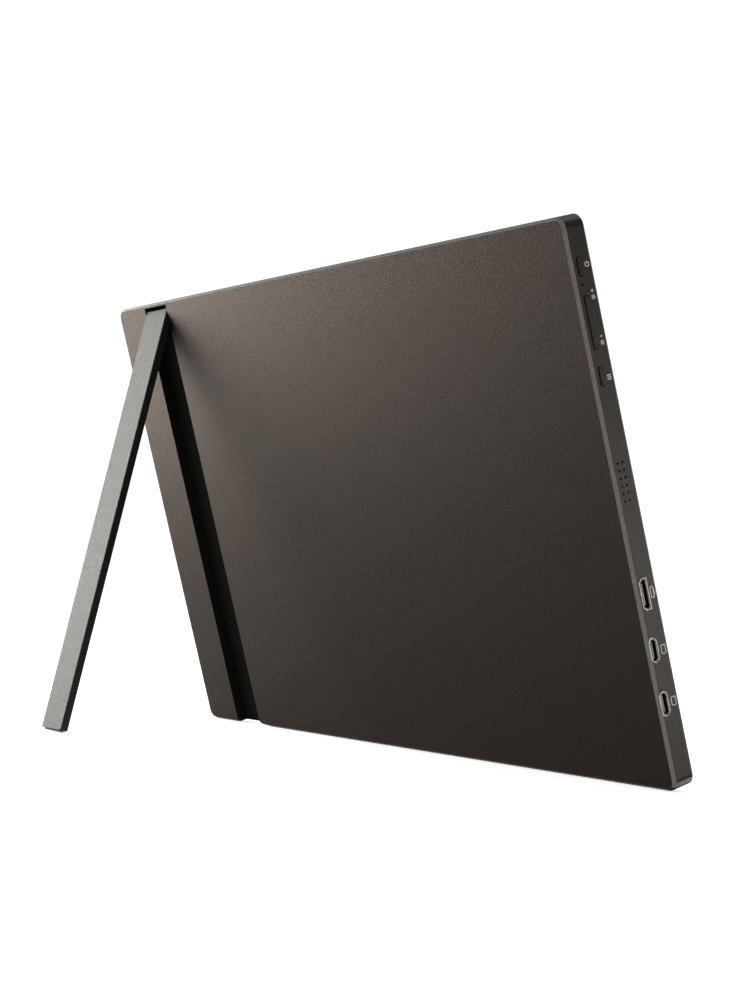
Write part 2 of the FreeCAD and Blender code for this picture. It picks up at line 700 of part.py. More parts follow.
def panel_plug_place():
    """Ends along x and z of the plug on the strip board's back."""
    start = panel_board_x()[0] + PANEL_PLUG_HEIGHT
    return (start, start + PANEL_PLUG_LENGTH), around(sum(panel_board_z()) / 2, PANEL_PLUG_HEIGHT)


def panel_inside(gap):
    """Ends along x and z of the room inside the tray's rim, less a gap."""
    return inset(TRAY_X, TRAY_SHEET + gap), inset(TRAY_Z, TRAY_SHEET + gap)


def panel_frame():
    """Plastic frame inside the rim, on which the glass lies."""
    x, z = panel_inside(STACK_GAP)
    frame = block(x, (GLASS_BACK, REFLECTOR_BACK), z)
    opening = block(inset(x, FRAME_RING), (GLASS_BACK - OVERRUN, REFLECTOR_BACK + OVERRUN),
                    inset(z, FRAME_RING))
    return frame.cut(opening)


def sheet_outline(lift):
    """Ends along x and z of a sheet inside the panel frame, with its lower edge lifted."""
    x, z = panel_inside(STACK_GAP + FRAME_RING + STACK_GAP)
    return x, (z[0] + lift, z[1])


def reflector_sheet():
    """White sheet on the floor of the tray."""
    x, z = sheet_outline(0)
    return block(x, (GUIDE_BACK, REFLECTOR_BACK), z)


def lamp_band():
    """Height that the lamps take up below the light guide."""
    return LAMP_BAR_HEIGHT + LAMP_HEIGHT + STACK_GAP


def light_guide():
    """Clear plate that spreads the light of the lamps."""
    x, z = sheet_outline(lamp_band())
    return block(x, (FILM_BACK, GUIDE_BACK), z)


def optical_films():
    """Diffuser and prism sheets."""
    x, z = sheet_outline(0)
    films = []
    for layer in range(FILM_COUNT):
        back = FILM_BACK - layer * FILM_THICKNESS
        films.append(block(x, (back - FILM_THICKNESS, back), z))
    return group(films)


def backlight_bar():
    """Strip that carries the lamps, along the lower edge of the light guide."""
    x, z = sheet_outline(0)
    return block(x, (FILM_BACK, GUIDE_BACK), (z[0], z[0] + LAMP_BAR_HEIGHT))


def backlight_leds():
    """Row of lamps between the strip and the light guide."""
    x, z = sheet_outline(LAMP_BAR_HEIGHT)
    first, last = inset(x, LAMP_END_MARGIN)
    step = (last - first) / (LAMP_COUNT - 1)
    lamps = []
    for index in range(LAMP_COUNT):
        place = around(first + index * step, LAMP_LENGTH)
        lamps.append(block(place, (FILM_BACK, GUIDE_BACK), (z[0], z[0] + LAMP_HEIGHT)))
    return group(lamps)


def lcd_rear_glass():
    """Rear glass, whose lower edge is left bare for the foils."""
    x, z = panel_inside(STACK_GAP)
    return block(x, (GLASS_MIDDLE, GLASS_BACK), z)


def lcd_front_glass():
    """Front glass of the screen."""
    x, z = panel_inside(STACK_GAP)
    return block(x, (GLASS_FRONT, GLASS_MIDDLE), (z[0] + GLASS_LEDGE, z[1]))


def panel_board():
    """Strip board in the chin, on the lip of the tray."""
    return block(panel_board_x(), (REFLECTOR_BACK - PANEL_BOARD_THICKNESS, REFLECTOR_BACK), panel_board_z())


def panel_connector():
    """Plug on the back of the strip board, in the notch of the lip."""
    x, z = panel_plug_place()
    return block(x, (REFLECTOR_BACK, REFLECTOR_BACK + PANEL_PLUG_DEPTH), z)


def panel_flexes():
    """Foils that bend from the bare edge of the rear glass down to the strip board."""
    board = REFLECTOR_BACK - PANEL_BOARD_THICKNESS
    low, high = panel_board_z()
    glass_edge = TRAY_Z[0] + TRAY_SHEET + STACK_GAP
    path = [(GLASS_MIDDLE, glass_edge + FLEX_LAP), (GLASS_MIDDLE, TRAY_Z[0] - TRAY_LIP_GAP),
            (board, low + FLEX_LAP + STACK_GAP), (board, low + STACK_GAP)]
    step = (panel_board_x()[1] - panel_board_x()[0]) / FLEX_COUNT
    foils = []
    for index in range(FLEX_COUNT):
        middle = panel_board_x()[0] + (index + 1 / 2) * step
        foils.append(prism_x(strip_outline(path, -FLEX_THICKNESS), around(middle, FLEX_WIDTH)))
    return group(foils)


def panel_adhesive():
    """Tape between the cover's ribs and the tray."""
    depth = (TRAY_BACK, TRAY_BACK + TAPE_THICKNESS)
    return group([block(x, depth, around(z, RIB_THICKNESS)) for x, z in rib_spans()])


# Picture board and its sockets

def usb_y():
    """Depth of the middle of the USB-C sockets."""
    return BOARD_BACK + USB_WIDTH / 2


def display_y():
    """Depth of the middle of the display socket, which is sunk into a notch of the board."""
    return BOARD_BACK + DISPLAY_WIDTH / 2 - DISPLAY_SINK


def socket_x():
    """Front and rear end of the sockets along x."""
    return (LEFT + SOCKET_RECESS, LEFT + SOCKET_RECESS + SOCKET_DEPTH)


def main_board():
    """Picture board with its screw holes and the notch of the display socket."""
    board = plate(BOARD_X, (BOARD_FRONT, BOARD_BACK), BOARD_Z, BOARD_CORNER)
    depth = (BOARD_FRONT - OVERRUN, BOARD_BACK + OVERRUN)
    notch = block((LEFT, socket_x()[1] + DISPLAY_NOTCH_GAP), depth,
                  around(DISPLAY_PLACE, DISPLAY_LENGTH + 2 * DISPLAY_NOTCH_GAP))
    holes = [peg_y(x, depth, z, SCREW_RADIUS + SCREW_HOLE_GAP) for x, z in main_screw_places()]
    return board.cut([notch] + holes)


def can_place():
    """Ends along x and z of the shield can."""
    x = BOARD_X[1] - CAN_EDGE
    z = sum(BOARD_Z) / 2
    return (x - CAN_SIZE, x), around(z, CAN_SIZE)


def board_chips():
    """Chips under the shield can; each has its middle and size as shares of the can."""
    x, z = can_place()
    chips = []
    for middle_x, middle_z, size_x, size_z in CHIP_SHARES:
        place_x = around(x[0] + middle_x * CAN_SIZE, size_x * CAN_SIZE)
        place_z = around(z[0] + middle_z * CAN_SIZE, size_z * CAN_SIZE)
        chips.append(block(place_x, (BOARD_BACK, BOARD_BACK + CHIP_HEIGHT), place_z))
    return group(chips)


def shield_can():
    """Thin steel can over the chips, open towards the board."""
    x, z = can_place()
    can = block(x, (BOARD_BACK, BOARD_BACK + CAN_HEIGHT), z)
    return can.cut(block(inset(x, CAN_SHEET), (BOARD_BACK - OVERRUN, BOARD_BACK + CAN_HEIGHT - CAN_SHEET),
                         inset(z, CAN_SHEET)))


def ribbon_x():
    """Ends along x of the ribbon between the two boards."""
    left = speaker_start() + SPEAKER_DEPTH + RIBBON_GAP
    return (left, left + RIBBON_WIDTH)


def display_plug_x():
    """Ends along x of the plug of the screen cable on the picture board."""
    return around(sum(panel_plug_place()[0]) / 2, PANEL_PLUG_LENGTH)


def board_connectors():
    """Plugs on the boards: the key ribbon at both ends, and the screen cable."""
    depth = (BOARD_BACK, BOARD_BACK + PLUG_HEIGHT)
    ribbon = inset(ribbon_x(), -STACK_GAP)
    return group([
        block(ribbon, depth, (BOARD_Z[1] - PLUG_DEPTH, BOARD_Z[1])),
        block(ribbon, depth, (KEY_BOARD_Z[0], KEY_BOARD_Z[0] + PLUG_DEPTH)),
        block(display_plug_x(), depth, (BOARD_Z[0], BOARD_Z[0] + PLUG_DEPTH)),
    ])


def usb_shell(place):
    """Drawn steel shell of a USB-C socket, open at its mouth."""
    start, end = socket_x()
    outer = extrude_x(rounded_wire(start, usb_y(), place, USB_WIDTH, USB_LENGTH, USB_WIDTH / 2), end - start)
    width = USB_WIDTH - 2 * SOCKET_WALL
    hollow = extrude_x(rounded_wire(start, usb_y(), place, width, USB_LENGTH - 2 * SOCKET_WALL, width / 2),
                       end - start - SOCKET_FLOOR)
    return outer.cut(hollow)


def usb_tongue(place):
    """Contact tongue of a USB-C socket."""
    start, end = socket_x()
    return block((start + TONGUE_SET_BACK, end - SOCKET_FLOOR), around(usb_y(), USB_TONGUE_THICKNESS),
                 around(place, USB_TONGUE_LENGTH))


def display_socket_shell():
    """Shell of the mini display socket, with wings that lie on the board beside its notch."""
    start, end = socket_x()
    outer = extrude_x(cornered_wire(start, display_y(), DISPLAY_PLACE, DISPLAY_WIDTH, DISPLAY_LENGTH,
                                    DISPLAY_CORNER), end - start)
    hollow = extrude_x(cornered_wire(start, display_y(), DISPLAY_PLACE, DISPLAY_WIDTH - 2 * SOCKET_WALL,
                                     DISPLAY_LENGTH - 2 * SOCKET_WALL, DISPLAY_CORNER - SOCKET_WALL / 2),
                       end - start - SOCKET_FLOOR)
    wing_x = (BOARD_X[0] + DISPLAY_WING, end)
    wings = [block(wing_x, (BOARD_BACK, BOARD_BACK + SOCKET_WALL),
                   (DISPLAY_PLACE + side * (DISPLAY_LENGTH / 2 - SOCKET_WALL),
                    DISPLAY_PLACE + side * (DISPLAY_LENGTH / 2 + DISPLAY_WING)))
             for side in (-1, 1)]
    return joined([outer] + wings).cut(hollow)


def display_socket_tongue():
    """Contact tongue of the mini display socket."""
    start, end = socket_x()
    return block((start + TONGUE_SET_BACK, end - SOCKET_FLOOR), around(display_y(), DISPLAY_TONGUE_THICKNESS),
                 around(DISPLAY_PLACE, DISPLAY_TONGUE_LENGTH))


def insulator_film():
    """Film on the panel's tray, in front of the picture board."""
    return block(inset(BOARD_X, -FILM_MARGIN), (TRAY_BACK, TRAY_BACK + FILM_SHEET),
                 inset(BOARD_Z, -FILM_MARGIN))


def screw(x, z, seat):
    """Low-headed screw whose head lies on a seat and whose shank points to the back."""
    head = peg_y(x, (seat - SCREW_HEAD_THICKNESS, seat), z, SCREW_HEAD_RADIUS)
    return head.fuse(peg_y(x, (seat, seat + BOARD_THICKNESS + SCREW_BITE), z, SCREW_RADIUS))


def board_screws():
    """Screws of the picture board and the key board."""
    key_front = BOARD_BACK - KEY_BOARD_THICKNESS
    screws = [screw(x, z, BOARD_FRONT) for x, z in main_screw_places()]
    return group(screws + [screw(x, z, key_front) for x, z in key_screw_places()])


# Keys

def key_board():
    """Small board behind the keys."""
    depth = (BOARD_BACK - KEY_BOARD_THICKNESS, BOARD_BACK)
    board = plate(KEY_BOARD_X, depth, KEY_BOARD_Z, BOARD_CORNER)
    room = (min(depth) - OVERRUN, max(depth) + OVERRUN)
    return board.cut([peg_y(x, room, z, SCREW_RADIUS + SCREW_HOLE_GAP) for x, z in key_screw_places()])


def switch(z):
    """Side-push switch on the back of the key board."""
    body_x = (SWITCH_TIP_X + SWITCH_TIP, SWITCH_TIP_X + SWITCH_TIP + SWITCH_DEPTH)
    body = block(body_x, (BOARD_BACK, BOARD_BACK + SWITCH_HEIGHT), around(z, SWITCH_LENGTH))
    tip = block((SWITCH_TIP_X, body_x[0]), around(KEY_Y, SWITCH_TIP_WIDTH), around(z, SWITCH_TIP_LENGTH))
    return body.fuse(tip)


def tact_switches():
    """Switches of the power key, both ends of the rocker, and the menu key."""
    rocker = around(CASE_HEIGHT - ROCKER_DROP, 2 * ROCKER_SWITCH_SPREAD)
    places = (CASE_HEIGHT - POWER_DROP,) + rocker + (CASE_HEIGHT - MENU_DROP,)
    return group([switch(z) for z in places])


def key_cap(z, length, flange_x, lip):
    """Cap of a key with a broken outer edge, its stem and the flange behind the wall."""
    face = LEFT - KEY_PROUD
    edge = 2 * KEY_EDGE_BREAK
    small = rounded_wire(face, KEY_Y, z, KEY_WIDTH - edge, length - edge, KEY_RADIUS - KEY_EDGE_BREAK)
    full = rounded_wire(face + KEY_EDGE_BREAK, KEY_Y, z, KEY_WIDTH, length, KEY_RADIUS)
    crown = Part.makeLoft([small, full], True, True)
    stem = extrude_x(full, max(flange_x) - face - KEY_EDGE_BREAK)
    flange = block(flange_x, around(KEY_Y, KEY_WIDTH + 2 * lip), around(z, length + 2 * KEY_FLANGE_LIP))
    return [crown, stem, flange]


def pusher(z, start, play):
    """Nub behind a key's flange that reaches to within its play of the switch."""
    return block((start, SWITCH_TIP_X - play), around(KEY_Y, SWITCH_TIP_WIDTH), around(z, SWITCH_TIP_LENGTH))


def push_key(drop, length):
    """Key that is pressed straight in."""
    z = CASE_HEIGHT - drop
    flange_x = (WALL_IN + KEY_REST_GAP, WALL_IN + KEY_REST_GAP + KEY_FLANGE)
    nub = pusher(z, flange_x[1], KEY_TRAVEL + SWITCH_PLAY)
    return joined(key_cap(z, length, flange_x, KEY_FLANGE_LIP) + [nub])


def rocker_button():
    """Long key that tips about its middle on two moulded trunnions."""
    z = CASE_HEIGHT - ROCKER_DROP
    axis_x = WALL_IN + TRUNNION_INSET
    flange_x = (WALL_IN + ROCKER_WALL_GAP, WALL_IN + ROCKER_WALL_GAP + KEY_FLANGE)
    nubs = [pusher(place, flange_x[1], ROCKER_TRAVEL + SWITCH_PLAY)
            for place in around(z, 2 * ROCKER_SWITCH_SPREAD)]
    hub_x = (flange_x[0], axis_x + TRUNNION_RADIUS + HUB_BACK)
    hub = block(hub_x, around(KEY_Y, KEY_WIDTH), around(z, 2 * HUB_HALF))
    trunnion = rod_y(axis_x, around(KEY_Y, KEY_WIDTH + 2 * (TRUNNION_LENGTH + LUG_GAP)), z, TRUNNION_RADIUS)
    return joined(key_cap(z, ROCKER_LENGTH, flange_x, 0) + nubs + [hub, trunnion])


def rocker_yoke():
    """Forked bracket on the edge of the key board, whose two lugs hold the rocker's trunnions."""
    z = around(CASE_HEIGHT - ROCKER_DROP, 2 * HUB_HALF)
    axis_x = WALL_IN + TRUNNION_INSET
    inside = KEY_WIDTH + 2 * LUG_GAP
    across = around(KEY_Y, inside + 2 * LUG_THICKNESS)
    fork = block((axis_x - TRUNNION_INSET + KEY_REST_GAP, KEY_BOARD_X[0]), across, z)
    room = block((LEFT, SWITCH_TIP_X + SWITCH_TIP), around(KEY_Y, inside), z)
    bore = rod_y(axis_x, inset(across, -OVERRUN), CASE_HEIGHT - ROCKER_DROP, TRUNNION_RADIUS + TRUNNION_FIT)
    return fork.cut([room, bore])


def light_pipe():
    """Clear pin from the pinhole to a foot on the key board."""
    z = CASE_HEIGHT - LAMP_DROP
    y = KEY_Y + LAMP_RISE
    radius = LAMP_HOLE_RADIUS - LAMP_PIPE_GAP
    foot_x = (KEY_BOARD_X[0], KEY_BOARD_X[0] + LAMP_BLOCK)
    foot = block(foot_x, (BOARD_BACK, y + radius), around(z, 2 * radius))
    return joined([rod_x((LEFT + KEY_EDGE_BREAK, foot_x[1]), y, z, radius), foot])


def indicator_led():
    """Small lamp on the key board behind the light pipe."""
    start = KEY_BOARD_X[0] + LAMP_BLOCK
    return block((start, start + LED_SIZE), (BOARD_BACK, BOARD_BACK + LED_SIZE),
                 around(CASE_HEIGHT - LAMP_DROP, LED_SIZE))


# Speakers and leads

def grille_window(margin):
    """Ends along y and z of a window round the sound holes, with a margin."""
    half_y = GRILLE_HALF + margin
    half_z = (GRILLE_ROWS - 1) * GRILLE_PITCH / 2 + GRILLE_RADIUS + margin
    return around(-GRILLE_DEPTH, 2 * half_y), around(SPEAKER_Z, 2 * half_z)


def speaker_start():
    """Place along x of the face of the port-side speaker, next to its gasket."""
    return WALL_IN + SPEAKER_GASKET


def speaker_box():
    """Closed sound box with a lip towards the wall, a sound slot and the seat of the driver."""
    start = speaker_start()
    box_x = (start, start + SPEAKER_DEPTH)
    box_y = (BOARD_FRONT, -BACK_WALL)
    box_z = around(SPEAKER_Z, SPEAKER_LENGTH)
    window_y, window_z = grille_window(SPEAKER_LIP_MARGIN)
    lip_y, lip_z = grille_window(SPEAKER_LIP_MARGIN + SPEAKER_GASKET_WIDTH)
    lip = block((start, start + SPEAKER_LIP), (lip_y[0], -BACK_WALL), lip_z)
    hollow = block(inset(box_x, SPEAKER_WALL), inset(box_y, SPEAKER_WALL), inset(box_z, SPEAKER_WALL))
    pocket = block((start - OVERRUN, start + SPEAKER_LIP / 2), window_y, window_z)
    slot_y = (BOARD_FRONT + SPEAKER_WALL, window_y[1])
    slot = block((start - OVERRUN, start + SPEAKER_LIP + SPEAKER_WALL), slot_y, window_z)
    seat = driver_solid(DRIVER_GAP, OVERRUN)
    return joined([block(box_x, box_y, box_z), lip]).cut([hollow, pocket, slot, seat])


def driver_solid(room, overrun):
    """Long-oval driver in the front wall of the sound box."""
    x = speaker_start() + (SPEAKER_LIP + SPEAKER_DEPTH) / 2
    width = DRIVER_WIDTH + 2 * room
    straight = around(SPEAKER_Z, DRIVER_LENGTH - DRIVER_WIDTH)
    depth = (BOARD_FRONT - overrun, BOARD_FRONT + DRIVER_DEPTH)
    ends = [rod_y(x, depth, z, width / 2) for z in straight]
    return joined([block(around(x, width), depth, straight)] + ends)


def speaker_gasket():
    """Foam frame between the side wall and the speaker's lip, round the sound holes."""
    outer_y, outer_z = grille_window(SPEAKER_LIP_MARGIN + SPEAKER_GASKET_WIDTH)
    inner_y, inner_z = grille_window(SPEAKER_LIP_MARGIN)
    span = (WALL_IN, speaker_start())
    return block(span, outer_y, outer_z).cut(block(inset(span, -OVERRUN), inner_y, inner_z))


def speaker_leads():
    """Flat leads from the picture board to both speakers; the long one lies on the panel's tray."""
    speaker_end = speaker_start() + SPEAKER_DEPTH
    near_z = (BOARD_Z[1] - LEAD_LAP, SPEAKER_Z - SPEAKER_LENGTH / 2)
    near = block(around(speaker_end - LEAD_WIDTH, LEAD_WIDTH), (BOARD_BACK, BOARD_BACK + LEAD_THICKNESS),
                 near_z)
    board_end = BOARD_X[1]
    far_end = -speaker_end
    rise = board_end + LEAD_LAP
    tray = TRAY_BACK + LEAD_THICKNESS
    lower = [(board_end - LEAD_LAP, BOARD_BACK), (board_end + FILM_MARGIN, BOARD_BACK), (rise, TRAY_BACK),
             (far_end - LEAD_LAP, TRAY_BACK), (far_end, BOARD_BACK)]
    upper = [(x, y + LEAD_THICKNESS) for x, y in lower]
    far_z = (BOARD_Z[1] - BOARD_SCREW_MARGIN - SCREW_HEAD_RADIUS - LEAD_WIDTH - LEAD_LAP,
             BOARD_Z[1] - BOARD_SCREW_MARGIN - SCREW_HEAD_RADIUS - LEAD_LAP)
    return group([near, prism_z(lower + list(reversed(upper)), far_z)])


def button_ribbon():
    """Flat ribbon between the plugs of the two boards."""
    return block(ribbon_x(), (BOARD_BACK, BOARD_BACK + LEAD_THICKNESS), (BOARD_Z[1], KEY_BOARD_Z[0]))


def display_cable():
    """Flat cable from the picture board down to the panel's plug."""
    top = BOARD_BACK + (PLUG_HEIGHT - CABLE_THICKNESS) / 2
    plug = REFLECTOR_BACK + PANEL_PLUG_DEPTH
    plug_z = panel_plug_place()[1]
    bend = (BOARD_Z[0] + plug_z[1]) / 2
    path = [(top, BOARD_Z[0]), (top, bend), (plug, plug_z[1]), (plug, plug_z[0])]
    return prism_x(strip_outline(path, CABLE_THICKNESS), around(sum(display_plug_x()) / 2, CABLE_WIDTH))


# Leg and hinge

def hinge_bracket(span):
    """Leaf screwed to the cover, curled at its top round the pin."""
    curl = rod_x(span, PIVOT_Y, PIVOT_Z, CURL_RADIUS)
    leaf_z = (PIVOT_Z - LEAF_LENGTH, PIVOT_Z)
    leaf_y = (LEAF_FRONT, LEAF_FRONT + LEAF_THICKNESS)
    leaf = block(span, leaf_y, leaf_z)
    bore = rod_x(inset(span, -OVERRUN), PIVOT_Y, PIVOT_Z, PIN_RADIUS + PIN_FIT)
    holes = [peg_y(x, inset(leaf_y, -OVERRUN), z, SCREW_RADIUS + SCREW_HOLE_GAP)
             for x, z in leaf_screw_places() if min(span) < x < max(span)]
    return joined([curl, leaf]).cut([bore] + holes)


def hinge_screws():
    """Screws of the two hinge brackets."""
    return group([screw(x, z, LEAF_FRONT) for x, z in leaf_screw_places()])


def ring_spans():
    """Ends along x of the two retaining rings, just past the curls."""
    inner, outer = curl_spans()
    left = inner[0] - RING_GAP
    right = outer[1] + RING_GAP
    return [(left - RING_THICKNESS, left), (right, right + RING_THICKNESS)]


def hinge_pin():
    """Steel pin that turns with the leg."""
    left, right = ring_spans()
    return rod_x((left[0] - PIN_TAIL, right[1] + PIN_TAIL), PIVOT_Y, PIVOT_Z, PIN_RADIUS)


def retaining_rings():
    """Rings that keep the pin from moving endways."""
    rings = []
    for span in ring_spans():
        bore = rod_x(inset(span, -OVERRUN), PIVOT_Y, PIVOT_Z, PIN_RADIUS + PIN_PRESS)
        rings.append(rod_x(span, PIVOT_Y, PIVOT_Z, CURL_RADIUS).cut(bore))
    return group(rings)


def pad_y():
    """Ends along y of the foot pad, in the middle of the folded leg's thickness."""
    return around(-LEG_THICKNESS / 2, PAD_THICKNESS)


def stand_leg():
    """Folded leg: a flat bar with broken edges, a hinge knuckle and a pocket for its foot pad."""
    x = around(LEG_X, LEG_WIDTH)
    bar = block(x, (-LEG_THICKNESS, 0), (LEG_TIP_Z, PIVOT_Z + LEG_CREST))
    tip = [edge for edge in edges_along_y(bar) if abs(edge.Vertexes[0].Z - LEG_TIP_Z) < SAME_PLACE]
    bar = bar.makeFillet(LEG_TIP_RADIUS, tip)
    bar = bar.makeChamfer(LEG_EDGE_BREAK, edges_at_depth(bar, 0))
    knuckle = rod_x(x, PIVOT_Y, PIVOT_Z, KNUCKLE_RADIUS)
    bore = rod_x(inset(x, -OVERRUN), PIVOT_Y, PIVOT_Z, PIN_RADIUS + PIN_PRESS)
    heel = heel_cut(inset(x, -OVERRUN))
    pocket = block(around(LEG_X, PAD_WIDTH), pad_y(), (LEG_TIP_Z - OVERRUN, LEG_TIP_Z + PAD_DEPTH))
    return joined([bar, knuckle]).cut([bore, heel, pocket])


def heel_cut(x):
    """Waste that rounds the inner edge of the leg's tip."""
    waste = block(x, (-LEG_THICKNESS - OVERRUN, -LEG_THICKNESS + LEG_HEEL_RADIUS),
                  (LEG_TIP_Z - OVERRUN, LEG_TIP_Z + LEG_HEEL_RADIUS))
    return waste.cut(rod_x(x, -LEG_THICKNESS + LEG_HEEL_RADIUS, LEG_TIP_Z + LEG_HEEL_RADIUS, LEG_HEEL_RADIUS))


def leg_foot_pad():
    """Rubber pad in the leg's tip."""
    return block(around(LEG_X, PAD_WIDTH), pad_y(), (LEG_TIP_Z - PAD_PROUD, LEG_TIP_Z + PAD_DEPTH))


# Assembly

def fixed_parts():
    """Pieces that stay with the case, by name."""
    box, driver, gasket = speaker_box(), driver_solid(0, 0), speaker_gasket()
    inner, outer = curl_spans()
    parts = {
        "rear_cover": rear_cover(), "front_bezel": front_bezel(), "bezel_gasket": bezel_gasket(),
        "panel_tray": panel_tray(), "panel_frame": panel_frame(), "reflector_sheet": reflector_sheet(),
        "light_guide": light_guide(), "optical_films": optical_films(), "backlight_bar": backlight_bar(),
        "backlight_leds": backlight_leds(), "lcd_rear_glass": lcd_rear_glass(),
        "lcd_front_glass": lcd_front_glass(), "panel_board": panel_board(),
        "panel_connector": panel_connector(), "panel_flexes": panel_flexes(),
        "panel_adhesive": panel_adhesive(), "main_board": main_board(),
        "board_chips": board_chips(), "shield_can": shield_can(), "board_connectors": board_connectors(),
        "display_socket_shell": display_socket_shell(), "display_socket_tongue": display_socket_tongue(),
        "insulator_film": insulator_film(), "board_screws": board_screws(), "button_board": key_board(),
        "tact_switches": tact_switches(), "rocker_yoke": rocker_yoke(), "light_pipe": light_pipe(),
        "indicator_led": indicator_led(), "speaker_leads": speaker_leads(), "button_ribbon": button_ribbon(),
        "display_cable": display_cable(), "hinge_bracket_inner": hinge_bracket(inner),
        "hinge_bracket_outer": hinge_bracket(outer), "hinge_screws": hinge_screws(),
        "power_button": push_key(POWER_DROP, POWER_LENGTH), "menu_button": push_key(MENU_DROP, MENU_LENGTH),
        "rocker_button": rocker_button(),
    }
    for name, place in USB_PLACES.items():
        parts["usb_c_shell_" + name] = usb_shell(place)
        parts["usb_c_tongue_" + name] = usb_tongue(place)
    for name, shape in (("speaker_box", box), ("speaker_driver", driver), ("speaker_gasket", gasket)):
        parts[name + "_port_side"] = shape
        parts[name + "_leg_side"] = mirrored(shape)
    return parts


def leg_parts():
    """Pieces that swing with the leg, folded, by name."""
    return {"stand_leg": stand_leg(), "leg_foot_pad": leg_foot_pad(), "hinge_pin": hinge_pin(),
            "retaining_rings": retaining_rings()}


def lean_angle():
    """Angle by which the case leans back when its bottom edge and the open leg's pad stand on the table."""
    open_angle = math.radians(LEG_OPEN_ANGLE)
    reach = PIVOT_Z - LEG_TIP_Z + PAD_PROUD
    across = min(pad_y()) - PIVOT_Y
    foot_y = PIVOT_Y + across * math.cos(open_angle) + reach * math.sin(open_angle)
    foot_z = PIVOT_Z + across * math.sin(open_angle) - reach * math.cos(open_angle)
    return math.degrees(math.atan2(foot_z, foot_y + BACK_CHAMFER))


def standing_parts():
    """All pieces as the monitor stands on the table, with the middle of the footprint as origin."""
    moved = leg_parts()
    for shape in moved.values():
        shape.rotate(Vec(0, PIVOT_Y, PIVOT_Z), X_AXIS, LEG_OPEN_ANGLE)
    parts = {**fixed_parts(), **moved}
    for shape in parts.values():
        shape.rotate(Vec(0, 0, 0), X_AXIS, -lean_angle())
    outside = ("rear_cover", "front_bezel", "power_button", "stand_leg", "leg_foot_pad")
    box = group([parts[name] for name in outside]).optimalBoundingBox(False)
    shift = Vec(-box.Center.x, -box.Center.y, -box.ZMin)
    for shape in parts.values():
        shape.translate(shift)
    return parts, shift


def main():
    """Write one file per piece."""
    os.makedirs("parts", exist_ok=True)
    parts, shift = standing_parts()
    for name, shape in parts.items():
        shape.exportStep(os.path.join("parts", name + ".step"))
    print(len(parts), "pieces, leaning back", round(lean_angle(), 4), "degrees, moved by", tuple(shift))


main()
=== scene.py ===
import json
import logging
import math
from dataclasses import dataclass, field
from enum import Enum
from typing import Protocol, Sequence

import bmesh
import bpy
from mathutils import Matrix, Quaternion, Vector


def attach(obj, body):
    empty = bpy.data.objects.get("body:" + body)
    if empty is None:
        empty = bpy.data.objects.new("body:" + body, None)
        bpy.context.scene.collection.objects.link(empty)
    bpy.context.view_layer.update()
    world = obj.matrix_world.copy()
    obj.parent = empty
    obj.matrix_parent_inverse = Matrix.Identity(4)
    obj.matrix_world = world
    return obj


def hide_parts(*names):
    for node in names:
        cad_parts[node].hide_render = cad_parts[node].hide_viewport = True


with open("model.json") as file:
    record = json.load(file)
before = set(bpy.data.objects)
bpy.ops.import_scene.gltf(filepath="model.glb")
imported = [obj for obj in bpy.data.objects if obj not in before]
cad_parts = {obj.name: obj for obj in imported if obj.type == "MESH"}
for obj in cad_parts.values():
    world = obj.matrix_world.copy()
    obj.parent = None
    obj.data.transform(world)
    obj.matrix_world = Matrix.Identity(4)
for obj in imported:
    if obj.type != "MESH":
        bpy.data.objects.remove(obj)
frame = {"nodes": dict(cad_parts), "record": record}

LOG = logging.getLogger("portable_monitor")
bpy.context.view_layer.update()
MM = 0.001
FULL_TURN = 2 * math.pi

Triple = tuple[float, float, float]
Pair = tuple[float, float]
Socket = bpy.types.NodeSocket
ORIGIN: Triple = (0.0, 0.0, 0.0)
WHITE: Triple = (1.0, 1.0, 1.0)


class Body(str, Enum):
    """Moving bodies that new pieces ride on."""

    MONITOR = "monitor"
    STAND = "stand"


class CoverZone(int, Enum):
    """Zones of the cover that differ in finish, by the index of their material."""

    BACK = 0
    # Bevels, whose bright finish is partly their cut and partly a painted highlight, and lower
    # rounded corners that carry only a painted highlight.
    BEVEL = 1
    # Painted shade: near-black finish in the leg's trench and inside the sound holes.
    DARK = 2
    WALL = 3


class KeyZone(int, Enum):
    """Zones of a key that differ in finish, by the index of their material."""

    FACE = 0
    SIDE = 1


class Slot(str, Enum):
    """Material slots of the record, handed along with new pieces."""

    CASE = "case_metal"
    STEEL = "steel"
    WHITE = "white_sheet"
    GLASS = "screen_glass"
    RUBBER = "foot_rubber"


def preset(node: bpy.types.Node, **values: object) -> None:
    """Set a node's sockets by their names, with underscores for spaces."""
    for name, value in values.items():
        node.inputs[name.replace("_", " ")].default_value = value


def shade(colour: Sequence[float], factor: float) -> tuple[float, ...]:
    """Colour made lighter or darker by a factor."""
    return tuple(min(1.0, channel * factor) for channel in colour)


def add_object(name: str, data: bpy.types.ID) -> bpy.types.Object:
    """Put an object with some data into the scene.

    Args:
        name: Name of the object.
        data: Its mesh, light or camera.

    Returns:
        The new object.
    """
    made = bpy.data.objects.new(name, data)
    bpy.context.scene.collection.objects.link(made)
    return made


def point_at(made: bpy.types.Object, place: Triple, aim: Triple, roll: float = 0.0) -> None:
    """Place a light or a camera and turn it to its aim.

    Args:
        made: The light or camera.
        place: Where it stands, in metres.
        aim: Where it points, in metres.
        roll: Turn about its own line of sight, in radians.
    """
    sight = (Vector(aim) - Vector(place)).to_track_quat("-Z", "Y")
    made.location = place
    made.rotation_mode = "QUATERNION"
    made.rotation_quaternion = sight @ Quaternion((0, 0, 1), roll)


# Finishes


class Finish(Protocol):
    """Any finish that can make its material."""

    def make(self) -> bpy.types.Material:
        """Build the material and return it."""


